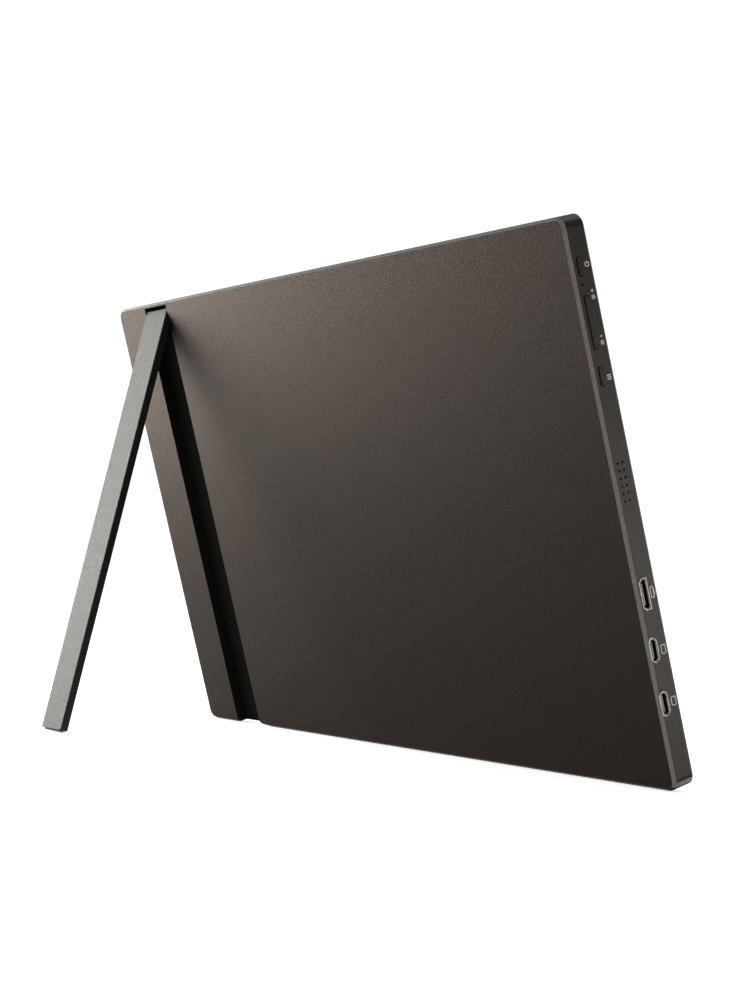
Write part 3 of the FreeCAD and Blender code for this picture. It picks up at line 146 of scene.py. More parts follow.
class Shader:
    """Small helper round one material's node tree."""

    def __init__(self, name: str) -> None:
        """Start an empty material with a shader and an output.

        Args:
            name: Name of the material.
        """
        self.material = bpy.data.materials.new(name)
        self.material.use_nodes = True
        self.tree = self.material.node_tree
        self.tree.nodes.clear()
        self.principled = self.node("ShaderNodeBsdfPrincipled")
        output = self.node("ShaderNodeOutputMaterial")
        self.link(self.principled.outputs["BSDF"], output.inputs["Surface"])
        self.coords = self.node("ShaderNodeTexCoord").outputs["Object"]

    def node(self, kind: str) -> bpy.types.Node:
        """Add a node of a kind and return it."""
        return self.tree.nodes.new(kind)

    def link(self, source: Socket, target: Socket) -> None:
        """Join two sockets."""
        self.tree.links.new(source, target)

    def set(self, **values: object) -> None:
        """Set the shader's own sockets, named with underscores for spaces."""
        preset(self.principled, **values)

    def noise(self, scale: float, octaves: float = 3.0, fineness: float = 0.5,
              stretch: Triple = (1.0, 1.0, 1.0)) -> Socket:
        """Noise over the piece.

        Args:
            scale: Waves per metre.
            octaves: Number of octaves.
            fineness: Weight of the finer octaves.
            stretch: Factor along each axis.

        Returns:
            The noise value, from 0 to 1.
        """
        mapping = self.node("ShaderNodeMapping")
        preset(mapping, Scale=stretch)
        self.link(self.coords, mapping.inputs["Vector"])
        texture = self.node("ShaderNodeTexNoise")
        preset(texture, Scale=scale, Detail=octaves, Roughness=fineness)
        self.link(mapping.outputs["Vector"], texture.inputs["Vector"])
        return texture.outputs["Fac"]

    def spread(self, value: Socket, low: float = 0.0, high: float = 1.0,
               start: float = 0.3, end: float = 0.7) -> Socket:
        """Map a noise value from its usual range to another one.

        Args:
            value: Socket to map.
            low: Result at the start.
            high: Result at the end.
            start: Value that gives low.
            end: Value that gives high.

        Returns:
            The mapped value.
        """
        mapped = self.node("ShaderNodeMapRange")
        preset(mapped, From_Min=start, From_Max=end, To_Min=low, To_Max=high)
        self.link(value, mapped.inputs["Value"])
        return mapped.outputs["Result"]

    def colour(self, value: Socket, first: Sequence[float], second: Sequence[float]) -> None:
        """Drive the base colour between two colours.

        Args:
            value: Share of the second colour.
            first: Colour at 0.
            second: Colour at 1.
        """
        mix = self.node("ShaderNodeMix")
        mix.data_type = "RGBA"
        ends = [socket for socket in mix.inputs if socket.type == "RGBA"]
        ends[0].default_value = (*first, 1.0)
        ends[1].default_value = (*second, 1.0)
        self.link(value, mix.inputs["Factor"])
        mixed = next(socket for socket in mix.outputs if socket.type == "RGBA")
        self.link(mixed, self.principled.inputs["Base Color"])

    def mottle(self, value: Socket, colour: Triple, contrast: float) -> None:
        """Drive the base colour from a darker to a lighter tone of one colour."""
        self.colour(value, shade(colour, 1.0 - contrast), shade(colour, 1.0 + contrast))

    def roughness(self, socket: Socket) -> None:
        """Drive the roughness."""
        self.link(socket, self.principled.inputs["Roughness"])

    def bump(self, height: Socket, depth: float, share: float) -> None:
        """Bump the surface.

        Args:
            height: Height from 0 to 1.
            depth: Depth in metres.
            share: Share of the full bump.
        """
        node = self.node("ShaderNodeBump")
        preset(node, Strength=share, Distance=depth)
        self.link(height, node.inputs["Height"])
        self.link(node.outputs["Normal"], self.principled.inputs["Normal"])


@dataclass(frozen=True)
class BlastedMetal:
    """Sand-blasted and anodised sheet metal: fine grain and a dull sheen."""

    name: str
    colour: Triple
    rough: float = 0.42
    rough_spread: float = 0.07
    grain: float = 1400.0
    grain_depth: float = 0.0001
    grain_octaves: float = 2.0
    grain_fineness: float = 0.6
    grain_range: Pair = (0.36, 0.64)
    bump_share: float = 0.8
    contrast: float = 0.2
    edge_tint: Triple = (0.69, 0.66, 0.638)

    def make(self) -> bpy.types.Material:
        """Build the material.

        Returns:
            The finished material.
        """
        shader = Shader(self.name)
        shader.set(Metallic=1.0, Specular_Tint=(*self.edge_tint, 1.0))
        fine = shader.noise(self.grain, self.grain_octaves, self.grain_fineness)
        start, end = self.grain_range
        shader.mottle(shader.spread(fine, start=start, end=end), self.colour, self.contrast)
        shader.roughness(shader.spread(fine, self.rough + self.rough_spread,
                                       self.rough - self.rough_spread))
        shader.bump(fine, self.grain_depth, self.bump_share)
        return shader.material


@dataclass(frozen=True)
class MouldedPlastic:
    """Moulded plastic, rubber, foam or print with a fine texture and a cloudy tone."""

    name: str
    colour: Triple
    rough: float = 0.55
    rough_spread: float = 0.06
    grain: float = 2200.0
    grain_depth: float = 0.00003
    grain_octaves: float = 3.0
    grain_fineness: float = 0.6
    grains_in_cloud: float = 9.0
    bump_share: float = 0.5
    contrast: float = 0.15
    coat: float = 0.0
    glow: float = 0.0
    gloss: float = 0.5

    def make(self) -> bpy.types.Material:
        """Build the material.

        Returns:
            The finished material.
        """
        shader = Shader(self.name)
        fine = shader.noise(self.grain, self.grain_octaves, self.grain_fineness)
        cloud = shader.noise(self.grain / self.grains_in_cloud)
        shader.mottle(shader.spread(cloud), self.colour, self.contrast)
        shader.roughness(shader.spread(fine, self.rough - self.rough_spread,
                                       self.rough + self.rough_spread))
        shader.set(Coat_Weight=self.coat, Specular_IOR_Level=self.gloss,
                   Emission_Color=(*WHITE, 1.0), Emission_Strength=self.glow)
        shader.bump(fine, self.grain_depth, self.bump_share)
        return shader.material


@dataclass(frozen=True)
class RolledMetal:
    """Bright metal with fine rolling lines along one axis."""

    name: str
    colour: Triple
    rough: float = 0.28
    rough_range: Pair = (-0.06, 0.1)
    lines: float = 260.0
    line_stretch: Triple = (1.0, 24.0, 1.0)
    line_octaves: float = 4.0
    line_fineness: float = 0.65
    line_depth: float = 0.00001
    bump_share: float = 0.3
    contrast: float = 0.12

    def make(self) -> bpy.types.Material:
        """Build the material.

        Returns:
            The finished material.
        """
        shader = Shader(self.name)
        shader.set(Metallic=1.0)
        streaks = shader.noise(self.lines, self.line_octaves, self.line_fineness,
                               self.line_stretch)
        shader.mottle(shader.spread(streaks), self.colour, self.contrast)
        smoother, rougher = self.rough_range
        shader.roughness(shader.spread(streaks, self.rough + smoother, self.rough + rougher))
        shader.bump(streaks, self.line_depth, self.bump_share)
        return shader.material


@dataclass(frozen=True)
class ScreenSurface:
    """Dark anti-glare surface of a screen that is switched off."""

    name: str
    colour: Triple
    rough: float
    rough_range: Pair = (-0.04, 0.06)
    sparkle: float = 5200.0
    sparkle_fineness: float = 0.6
    sparkle_depth: float = 0.000006
    bump_share: float = 0.4
    cloud: float = 9.0
    octaves: float = 2.0
    tones: Pair = (0.85, 1.25)
    gloss: float = 0.22
    ior: float = 1.5

    def make(self) -> bpy.types.Material:
        """Build the material.

        Returns:
            The finished material.
        """
        shader = Shader(self.name)
        shader.set(IOR=self.ior, Specular_IOR_Level=self.gloss)
        sparkle = shader.noise(self.sparkle, self.octaves, self.sparkle_fineness)
        cloud = shader.spread(shader.noise(self.cloud, self.octaves))
        darker, lighter = (shade(self.colour, tone) for tone in self.tones)
        shader.colour(cloud, darker, lighter)
        smoother, rougher = self.rough_range
        shader.roughness(shader.spread(sparkle, self.rough + smoother, self.rough + rougher))
        shader.bump(sparkle, self.sparkle_depth, self.bump_share)
        return shader.material


@dataclass(frozen=True)
class ClearAcrylic:
    """Clear moulded acrylic, a little cloudy."""

    name: str
    tint: Triple = (0.86, 0.9, 0.92)
    haze: float = 700.0
    haze_tone: float = 0.92
    rough_range: Pair = (0.08, 0.2)
    clearness: float = 0.75
    ior: float = 1.49

    def make(self) -> bpy.types.Material:
        """Build the material.

        Returns:
            The finished material.
        """
        shader = Shader(self.name)
        shader.set(IOR=self.ior, Transmission_Weight=self.clearness)
        haze = shader.noise(self.haze)
        shader.colour(shader.spread(haze), shade(self.tint, self.haze_tone), self.tint)
        shader.roughness(shader.spread(haze, *self.rough_range))
        return shader.material


@dataclass(frozen=True)
class PrintedBoard:
    """Circuit board with a solder mask over faint copper tracks."""

    name: str
    mask: Triple = (0.01, 0.06, 0.035)
    track: Triple = (0.02, 0.11, 0.06)
    tracks: float = 420.0
    track_octaves: float = 1.0
    track_fineness: float = 0.4
    track_stretch: Triple = (1.0, 1.0, 3.0)
    track_edge: Pair = (0.47, 0.52)
    track_height: float = 0.00002
    bump_share: float = 0.5
    rough_range: Pair = (0.32, 0.42)

    def make(self) -> bpy.types.Material:
        """Build the material.

        Returns:
            The finished material.
        """
        shader = Shader(self.name)
        noise = shader.noise(self.tracks, self.track_octaves, self.track_fineness,
                             self.track_stretch)
        start, end = self.track_edge
        tracks = shader.spread(noise, start=start, end=end)
        shader.colour(tracks, self.mask, self.track)
        shader.roughness(shader.spread(tracks, *self.rough_range, start=0.0, end=1.0))
        shader.bump(tracks, self.track_height, self.bump_share)
        return shader.material


FINISHES: dict[str, Finish] = {
    # By slot of the record
    "case_metal": BlastedMetal("blasted_case", (0.0134, 0.0107, 0.0094), contrast=0.14),
    # The leg takes a lighter copy of the case's blasted metal: its extra lightness is painted
    # light.
    "leg_metal": BlastedMetal("blasted_leg_painted_light", (0.0245, 0.0232, 0.0215), rough=0.46,
                              grain=1500.0, grain_depth=0.00015, contrast=0.24,
                              edge_tint=(0.66, 0.658, 0.648)),
    "key_metal": BlastedMetal("dull_keys", (0.013, 0.0108, 0.0094), rough=0.45),
    "bezel_plastic": MouldedPlastic("bezel_black", (0.018, 0.018, 0.019), rough=0.5),
    "screen_glass": ScreenSurface("screen_border", (0.0035, 0.0035, 0.004), rough=0.22),
    "clear_acrylic": ClearAcrylic("light_acrylic"),
    "white_sheet": MouldedPlastic("white_film", (0.78, 0.78, 0.76), rough=0.45, contrast=0.05),
    "steel": RolledMetal("rolled_steel", (0.52, 0.52, 0.53)),
    "board_laminate": PrintedBoard("board_mask"),
    "black_plastic": MouldedPlastic("moulded_black", (0.02, 0.02, 0.021), rough=0.48),
    "foil": MouldedPlastic("amber_foil", (0.42, 0.2, 0.045), rough=0.3, contrast=0.2, coat=0.3),
    "foam": MouldedPlastic("cell_foam", (0.03, 0.03, 0.03), rough=0.9, grain=900.0,
                           grain_depth=0.0002),
    "foot_rubber": MouldedPlastic("foot_rubber", (0.022, 0.021, 0.02), rough=0.75,
                                  grain=1100.0, grain_depth=0.00008),
    # For single nodes, zones of a node, new pieces and the floor
    # Painted shade: the smoked lamp is made near black with no sheen, so its pinhole reads as a
    # shaded hole.
    "light_pipe": MouldedPlastic("smoked_lamp_painted_shade", (0.0006, 0.0006, 0.0006), rough=0.7, gloss=0.0),
    # Socket shells made far darker than bright steel: painted shade in the mouths. The display
    # shell keeps its real gilt tint.
    "socket_steel_painted_shade": RolledMetal("socket_steel_painted_shade", (0.045, 0.045, 0.043), rough=0.4),
    "socket_gilt_painted_shade": RolledMetal("socket_gilt_painted_shade", (0.034, 0.022, 0.012), rough=0.4),
    # Brighter bevel finish: partly the bright cut of the chamfers, partly a painted highlight; on
    # the lower rounded corners it is only a painted highlight.
    "bevel_cut_and_highlight": BlastedMetal("bevel_cut_and_highlight", (0.094, 0.088, 0.082), rough=0.36, contrast=0.16,
                             edge_tint=(0.9, 0.88, 0.86)),
    "smoothed_wall": BlastedMetal("smoothed_wall", (0.0126, 0.0114, 0.0105), rough_spread=0.02,
                                  grain_depth=0.00003, contrast=0.08),
    # Painted shade: near-black matte finish with no sheen for the trench, the sound holes and the
    # keys' sides, where shade falls.
    "painted_shade_black": MouldedPlastic("painted_shade_black", (0.0054, 0.0053, 0.0049), rough=0.75,
                                   gloss=0.0),
    # Painted highlight: bright finish for the collars in the sockets' bevels.
    "socket_rim_highlight": BlastedMetal("socket_rim_highlight", (0.105, 0.104, 0.101), rough=0.36, contrast=0.12,
                               edge_tint=(0.95, 0.95, 0.95)),
    "contact_gold": RolledMetal("contact_gold", (0.78, 0.5, 0.19), rough=0.25),
    "pale_print": MouldedPlastic("pale_print", (0.26, 0.255, 0.25), rough=0.5, contrast=0.08,
                                 grain_depth=0.000005),
    "pixel_area": ScreenSurface("pixel_area", (0.007, 0.0075, 0.0095), rough=0.34),
    "pale_floor": MouldedPlastic("pale_floor", (0.5, 0.5, 0.5), rough=0.7, grain=40.0,
                                 grain_depth=0.0, contrast=0.01, glow=0.62),
}


# Places


@dataclass(frozen=True)
class Stance:
    """How the case stands, read from the mount on its back.

    Inside the case x runs to the right of the screen, y out of the back and z up the screen, in
    millimetres.
    """

    mount_name: str = "back_face"
    mount_place: Triple = (-30.0, 0.0, 112.0)
    pivot: Pair = (-2.6, 219.0)
    open_angle: float = 30.0
    half_width: float = 185.0
    leg_middle: float = 143.45

    def upright(self) -> Matrix:
        """Matrix from the case's own millimetres to the frame's metres.

        Returns:
            The matrix.
        """
        mounts = frame["record"]["mounts"]
        mount = next(row for row in mounts if row["name"] == self.mount_name)
        _, across, down = mount["axis"]
        turn = Matrix.Rotation(math.atan2(down, across), 4, "X") @ Matrix.Scale(MM, 4)
        offset = Vector(mount["pos_m"]) - turn @ Vector(self.mount_place)
        return Matrix.Translation(offset) @ turn

    def leg(self) -> Matrix:
        """Matrix of the open leg, from its folded place.

        Returns:
            The matrix.
        """
        pivot = Vector((0.0, *self.pivot))
        swing = Matrix.Rotation(math.radians(self.open_angle), 4, "X")
        return self.upright() @ Matrix.Translation(pivot) @ swing @ Matrix.Translation(-pivot)

    def wall(self, y: float, z: float) -> Matrix:
        """Matrix of a spot on the port wall.

        Args:
            y: Place of the spot out of the back.
            z: Place of the spot up the screen.

        Returns:
            The matrix from millimetres: X up the wall, Y to the back and Z out of the wall.
        """
        axes = Matrix(((0, 0, -1, -self.half_width),
                       (0, 1, 0, y),
                       (1, 0, 0, z),
                       (0, 0, 0, 1)))
        return self.upright() @ axes

    def axes(self) -> Matrix:
        """Turn from the frame's axes to the case's own ones."""
        return self.upright().inverted().to_3x3().normalized()

    def inside(self, node: str) -> tuple[Vector, Vector]:
        """Lowest and highest corner of a node in the case's own millimetres.

        Args:
            node: Name of the node.

        Returns:
            The two corners.
        """
        back = self.upright().inverted()
        points = [back @ vertex.co for vertex in frame["nodes"][node].data.vertices]
        low = Vector([min(point[axis] for point in points) for axis in range(3)])
        high = Vector([max(point[axis] for point in points) for axis in range(3)])
        return low, high


STANCE = Stance()


class Workbench:
    """One new piece while it is being shaped, in millimetres."""

    def __init__(self, name: str) -> None:
        """Start an empty mesh.

        Args:
            name: Name of the piece.
        """
        self.name = name
        self.mesh = bmesh.new()

    def bar(self, length: float, width: float, place: Triple = ORIGIN,
            turn: float = 0.0) -> list[bmesh.types.BMFace]:
        """Flat bar in the XY plane.

        Args:
            length: Size along X.
            width: Size along Y.
            place: Middle of the bar.
            turn: Angle about Z in radians.

        Returns:
            The new faces.
        """
        matrix = (Matrix.Translation(Vector(place)) @ Matrix.Rotation(turn, 4, "Z")
                  @ Matrix.Diagonal((length / 2, width / 2, 1.0, 1.0)))
        made = bmesh.ops.create_grid(self.mesh, x_segments=1, y_segments=1, size=1.0,
                                     matrix=matrix)
        return list({face for vertex in made["verts"] for face in vertex.link_faces})

    def arc(self, radius: float, width: float, start: float, angle: float,
            place: Triple = ORIGIN, steps: int = 28) -> None:
        """Flat curved band in the XY plane.

        Args:
            radius: Radius of its middle line.
            width: Width of the band.
            start: Angle of its first end in radians.
            angle: Angle that it covers in radians.
            place: Middle of the arc.
            steps: Number of faces.
        """
        middle = Vector(place)
        ray = Vector((math.cos(start), math.sin(start), 0.0))
        ends = [self.mesh.verts.new(middle + ray * (radius + side * width / 2))
                for side in (-1, 1)]
        edge = self.mesh.edges.new(ends)
        bmesh.ops.spin(self.mesh, geom=[*ends, edge], cent=middle, axis=(0, 0, 1), angle=angle,
                       steps=steps, use_merge=math.isclose(angle, FULL_TURN))

    def outline(self, length: float, width: float, corner: float, line: float,
                segments: int = 4, only_back: bool = False) -> None:
        """Rounded rectangle drawn as a line of even width.

        Args:
            length: Outer size along X.
            width: Outer size along Y.
            corner: Outer corner radius.
            line: Width of the line.
            segments: Faces in each corner.
            only_back: Whether only the corners towards +Y are shaped.
        """
        face = self.plate(length, width, corner, segments, only_back)
        bmesh.ops.inset_region(self.mesh, faces=[face], thickness=line, use_even_offset=True,
                               use_boundary=True)
        bmesh.ops.delete(self.mesh, geom=[face], context="FACES_ONLY")

    def plate(self, length: float, width: float, corner: float, segments: int,
              only_back: bool) -> bmesh.types.BMFace:
        """Flat sheet with rounded or cut corners.

        Args:
            length: Size along X.
            width: Size along Y.
            corner: Radius or cut of the corners.
            segments: Faces in each corner.
            only_back: Whether only the corners towards +Y are shaped.

        Returns:
            The one face.
        """
        face = self.bar(length, width)[0]
        corners = [vertex for vertex in face.verts if vertex.co.y > 0 or not only_back]
        bmesh.ops.bevel(self.mesh, geom=corners, offset=corner, offset_type="OFFSET",
                        affect="VERTICES", segments=segments, profile=0.5, material=-1)
        return max(self.mesh.faces, key=lambda one: one.calc_area())

    def box(self, size: Triple, place: Triple) -> None:
        """Box by its size along each axis and its middle."""
        matrix = Matrix.Translation(Vector(place)) @ Matrix.Diagonal((*size, 1.0))
        bmesh.ops.create_cube(self.mesh, size=1.0, matrix=matrix)

    def lift(self, height: float) -> None:
        """Move all that is there along Z."""
        bmesh.ops.translate(self.mesh, verts=list(self.mesh.verts), vec=(0.0, 0.0, height))

    def thicken(self, depth: float) -> None:
        """Give all flat faces a thickness.

        Args:
            depth: Thickness towards +Z.
        """
        made = bmesh.ops.extrude_face_region(self.mesh, geom=list(self.mesh.faces))
        moved = [item for item in made["geom"] if isinstance(item, bmesh.types.BMVert)]
        bmesh.ops.translate(self.mesh, verts=moved, vec=(0.0, 0.0, depth))
        bmesh.ops.recalc_face_normals(self.mesh, faces=list(self.mesh.faces))

    def soften(self, width: float, sharp: float = 0.6, segments: int = 2) -> None:
        """Round all sharp edges.

        Args:
            width: Width of the rounding.
            sharp: Smallest angle between faces that counts as sharp, in radians.
            segments: Faces across the rounding.
        """
        edges = [edge for edge in self.mesh.edges
                 if edge.is_manifold and edge.calc_face_angle(0.0) > sharp]
        bmesh.ops.bevel(self.mesh, geom=edges, offset=width, offset_type="OFFSET",
                        affect="EDGES", segments=segments, profile=0.5, material=-1)

    def settle(self) -> None:
        """Put the vertices and faces in an order that is the same each run."""
        spots = {vertex: vertex.co[:] for vertex in self.mesh.verts}
        spots |= {face: face.calc_center_median()[:] for face in self.mesh.faces}
        for items in (self.mesh.verts, self.mesh.faces):
            ranks = {item: rank for rank, item in enumerate(sorted(items, key=spots.get))}
            items.sort(key=ranks.get)

    def finish(self, place: Matrix, material: bpy.types.Material, body: Body,
               slot: Slot) -> bpy.types.Object:
        """Put the piece into the scene, with flat faces.

        Args:
            place: Matrix from millimetres to the frame.
            material: Its finish.
            body: Body that it rides on.
            slot: Slot of the record; not used.

        Returns:
            The finished object.
        """
        self.settle()
        bmesh.ops.transform(self.mesh, matrix=place, verts=list(self.mesh.verts))
        data = bpy.data.meshes.new(self.name)
        for face in self.mesh.faces:
            face.smooth = False
        self.mesh.to_mesh(data)
        self.mesh.free()
        piece = add_object(self.name, data)
        data.materials.append(material)
        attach(piece, body.value)
        LOG.info("piece %s: %d faces on %s", self.name, len(data.polygons), body.value)
        return piece


# Sub-assemblies


@dataclass
class CaseFinishes:
    """Dresses the nodes of the case, the leg and what is inside with their finishes.

    Places are in the case's own millimetres. A facing is a part of a face's normal along one of
    the case's own axes.
    """

    own_finish: dict[str, str] = field(default_factory=lambda: {
        # The lamp takes a near-black finish with no sheen: painted shade in its pinhole.
        "light_pipe": "light_pipe",
        # The socket shells take dark finishes: painted shade in the mouths.
        "usb_c_shell_upper": "socket_steel_painted_shade",
        "usb_c_shell_lower": "socket_steel_painted_shade",
        "display_socket_shell": "socket_gilt_painted_shade",
    })
    # Zone finishes: the bright bevel finish is partly a painted highlight, and the near-black
    # finish is painted shade.
    cover_zones: tuple[str, ...] = ("bevel_cut_and_highlight", "painted_shade_black", "smoothed_wall")
    key_nodes: tuple[str, ...] = ("power_button", "rocker_button", "menu_button")
    # The keys' sides take the near-black finish: painted shade.
    key_sides: str = "painted_shade_black"
    bevel_facing: Pair = (0.66, 0.75)
    # Bevels facing further down keep the back's darker finish: painted shade.
    bevel_lowest: float = -0.5
    trench_half: float = 12.0
    trench_depths: Pair = (-5.9, -0.2)
    wall: float = 2.0
    corner: float = 6.0
    half_height: float = 112.5
    grille: Pair = (100.0, 150.0)
    sideways: float = 0.3
    # Facings of the lower rounded corners that take the bright bevel finish as a painted
    # highlight.
    highlight_corner: Pair = (-0.66, -0.3)
    key_face: float = -0.95
    made: dict[str, bpy.types.Material] = field(default_factory=dict)

    def material(self, finish: str) -> bpy.types.Material:
        """Material of a finish, made once.

        Args:
            finish: Name of the finish.

        Returns:
            Its material.
        """
        if finish not in self.made:
            self.made[finish] = FINISHES[finish].make()
        return self.made[finish]

    def dress(self) -> None:
        """Give every node the finish of its slot, or one of its own."""
        for row in frame["record"]["subparts"]:
            name = row["node"]
            node = frame["nodes"][name]
            finish = self.own_finish.get(name, row["material_slot"])
            node.data.materials.clear()
            node.data.materials.append(self.material(finish))
            LOG.info("node %s: %s", name, finish)

    def zone(self, place: Vector, facing: Vector) -> CoverZone:
        """Zone of the cover that a face belongs to.

        Args:
            place: Middle of the face, in the case's own millimetres.
            facing: Its normal, along the case's own axes.

        Returns:
            The zone.
        """
        # Bevels take the bright finish, which is partly a painted highlight; those facing down
        # keep the back's finish as painted shade.
        low, high = self.bevel_facing
        if low < facing.y < high and facing.z > self.bevel_lowest:
            return CoverZone.BEVEL
        # The leg's trench takes the near-black finish: painted shade.
        floor, mouth = self.trench_depths
        in_trench = abs(place.x - STANCE.leg_middle) < self.trench_half
        if in_trench and floor < place.y < mouth:
            return CoverZone.DARK
        # The insides of the sound holes take the near-black finish too: painted shade.
        bottom, top = self.grille
        in_wall = STANCE.half_width - self.wall < abs(place.x) < STANCE.half_width
        if in_wall and abs(facing.x) < self.sideways and bottom < place.z < top:
            return CoverZone.DARK
        rise = place.z - self.half_height
        outwards = facing.x * place.x + facing.z * rise
        near_rim = (abs(place.x) > STANCE.half_width - self.corner
                    or abs(rise) > self.half_height - self.corner)
        if abs(facing.y) < self.sideways and near_rim and outwards > 0:
            # Lower rounded corners take the bright bevel finish: a painted highlight.
            low, high = self.highlight_corner
            return CoverZone.BEVEL if low < facing.z < high else CoverZone.WALL
        return CoverZone.BACK

    def dress_cover(self) -> None:
        """Give the cover's bevels, trench, sound holes and walls their own finishes: a bright
        finish on the bevels that is partly their cut and partly a painted highlight, a painted
        highlight on the lower corners, and painted shade in the trench and the sound holes.
        """
        cover = frame["nodes"]["rear_cover"].data
        for finish in self.cover_zones:
            cover.materials.append(self.material(finish))
        case, turn = STANCE.upright().inverted(), STANCE.axes()
        counts = {zone: 0 for zone in CoverZone}
        for face in cover.polygons:
            zone = self.zone(case @ face.center, turn @ face.normal)
            face.material_index = zone.value
            counts[zone] += 1
        for zone, count in counts.items():
            LOG.info("cover zone %s: %d faces", zone.name, count)

    def dress_keys(self) -> None:
        """Give the keys near-black sides round their faces, as painted shade."""
        turn = STANCE.axes()
        for name in self.key_nodes:
            key = frame["nodes"][name].data
            key.materials.append(self.material(self.key_sides))
            for face in key.polygons:
                is_face = (turn @ face.normal).x < self.key_face
                face.material_index = (KeyZone.FACE if is_face else KeyZone.SIDE).value
            LOG.info("key %s: sides in %s", name, self.key_sides)


@dataclass
class PortPictograms:
    """Plain printed signs beside the keys and sockets on the port wall."""

    depth: float = -7.7
    line: float = 0.26
    ink: float = 0.02
    power_place: float = 205.6
    brighter_place: float = 194.2
    dimmer_place: float = 176.8
    menu_place: float = 162.3
    display_place: float = 78.2
    socket_places: Pair = (55.6, 34.9)
    ring_radius: float = 0.95
    ring_start: float = 35.0
    ring_angle: float = 290.0
    ring_bar: float = 1.1
    ring_bar_place: float = 0.7
    sun_place: float = -1.2
    sun_radius: float = 0.46
    sun_steps: int = 20
    rays: int = 8
    ray_size: Pair = (0.34, 0.18)
    ray_reach: float = 0.94
    plus_place: float = 1.25
    plus_bar: float = 1.2
    plus_arm: float = 0.46
    plus_arm_reach: float = 0.37
    menu_bar: float = 2.0
    menu_step: float = 0.8
    screen_size: Pair = (4.4, 1.6)
    screen_corner: float = 0.3
    screen_foot: float = 2.2
    screen_foot_drop: float = 1.08
    socket_size: Pair = (3.6, 2.4)
    socket_corner: float = 0.55

    def power(self) -> Workbench:
        """Open ring with a bar.

        Returns:
            The bench with the sign on it.
        """
        bench = Workbench("sign_power")
        bench.arc(self.ring_radius, self.line, math.radians(self.ring_start),
                  math.radians(self.ring_angle))
        bench.bar(self.ring_bar, self.line, (self.ring_bar_place, 0.0, 0.0))
        return bench

    def sun(self, name: str, plus: bool) -> Workbench:
        """Sun with a plus or a minus beside it.

        Args:
            name: Name of the piece.
            plus: Whether the sign is a plus.

        Returns:
            The bench with the sign on it.
        """
        bench = Workbench(name)
        bench.arc(self.sun_radius, self.line, 0.0, FULL_TURN, (self.sun_place, 0.0, 0.0),
                  self.sun_steps)
        for ray in range(self.rays):
            angle = ray * FULL_TURN / self.rays
            x = self.sun_place + self.ray_reach * math.cos(angle)
            bench.bar(*self.ray_size, (x, self.ray_reach * math.sin(angle), 0.0), angle)
        bench.bar(self.plus_bar, self.line, (self.plus_place, 0.0, 0.0), math.pi / 2)
        if plus:
            for side in (-1, 1):
                x = self.plus_place + self.plus_arm_reach * side
                bench.bar(self.plus_arm, self.line, (x, 0.0, 0.0))
        return bench

    def menu(self) -> Workbench:
        """Three bars.

        Returns:
            The bench with the sign on it.
        """
        bench = Workbench("sign_menu")
        for row in (-1, 0, 1):
            bench.bar(self.line, self.menu_bar, (self.menu_step * row, 0.0, 0.0))
        return bench

    def screen(self) -> Workbench:
        """Small screen on a foot.

        Returns:
            The bench with the sign on it.
        """
        bench = Workbench("sign_screen")
        bench.outline(*self.screen_size, self.screen_corner, self.line)
        bench.bar(self.screen_foot, self.line, (0.0, -self.screen_foot_drop, 0.0))
        return bench

    def socket(self, index: int) -> Workbench:
        """Small rounded rectangle.

        Args:
            index: Number of the socket, from the top.

        Returns:
            The bench with the sign on it.
        """
        bench = Workbench(f"sign_socket_{index}")
        bench.outline(*self.socket_size, self.socket_corner, self.line)
        return bench

    def build(self, material: bpy.types.Material) -> None:
        """Build all signs.

        Args:
            material: Finish of the print.
        """
        rows = [(self.power(), self.power_place),
                (self.sun("sign_brighter", True), self.brighter_place),
                (self.sun("sign_dimmer", False), self.dimmer_place),
                (self.menu(), self.menu_place),
                (self.screen(), self.display_place)]
        rows += [(self.socket(index), place) for index, place in enumerate(self.socket_places, 1)]
        for bench, place in rows:
            bench.thicken(self.ink)
            bench.finish(STANCE.wall(self.depth, place), material, Body.MONITOR, Slot.WHITE)


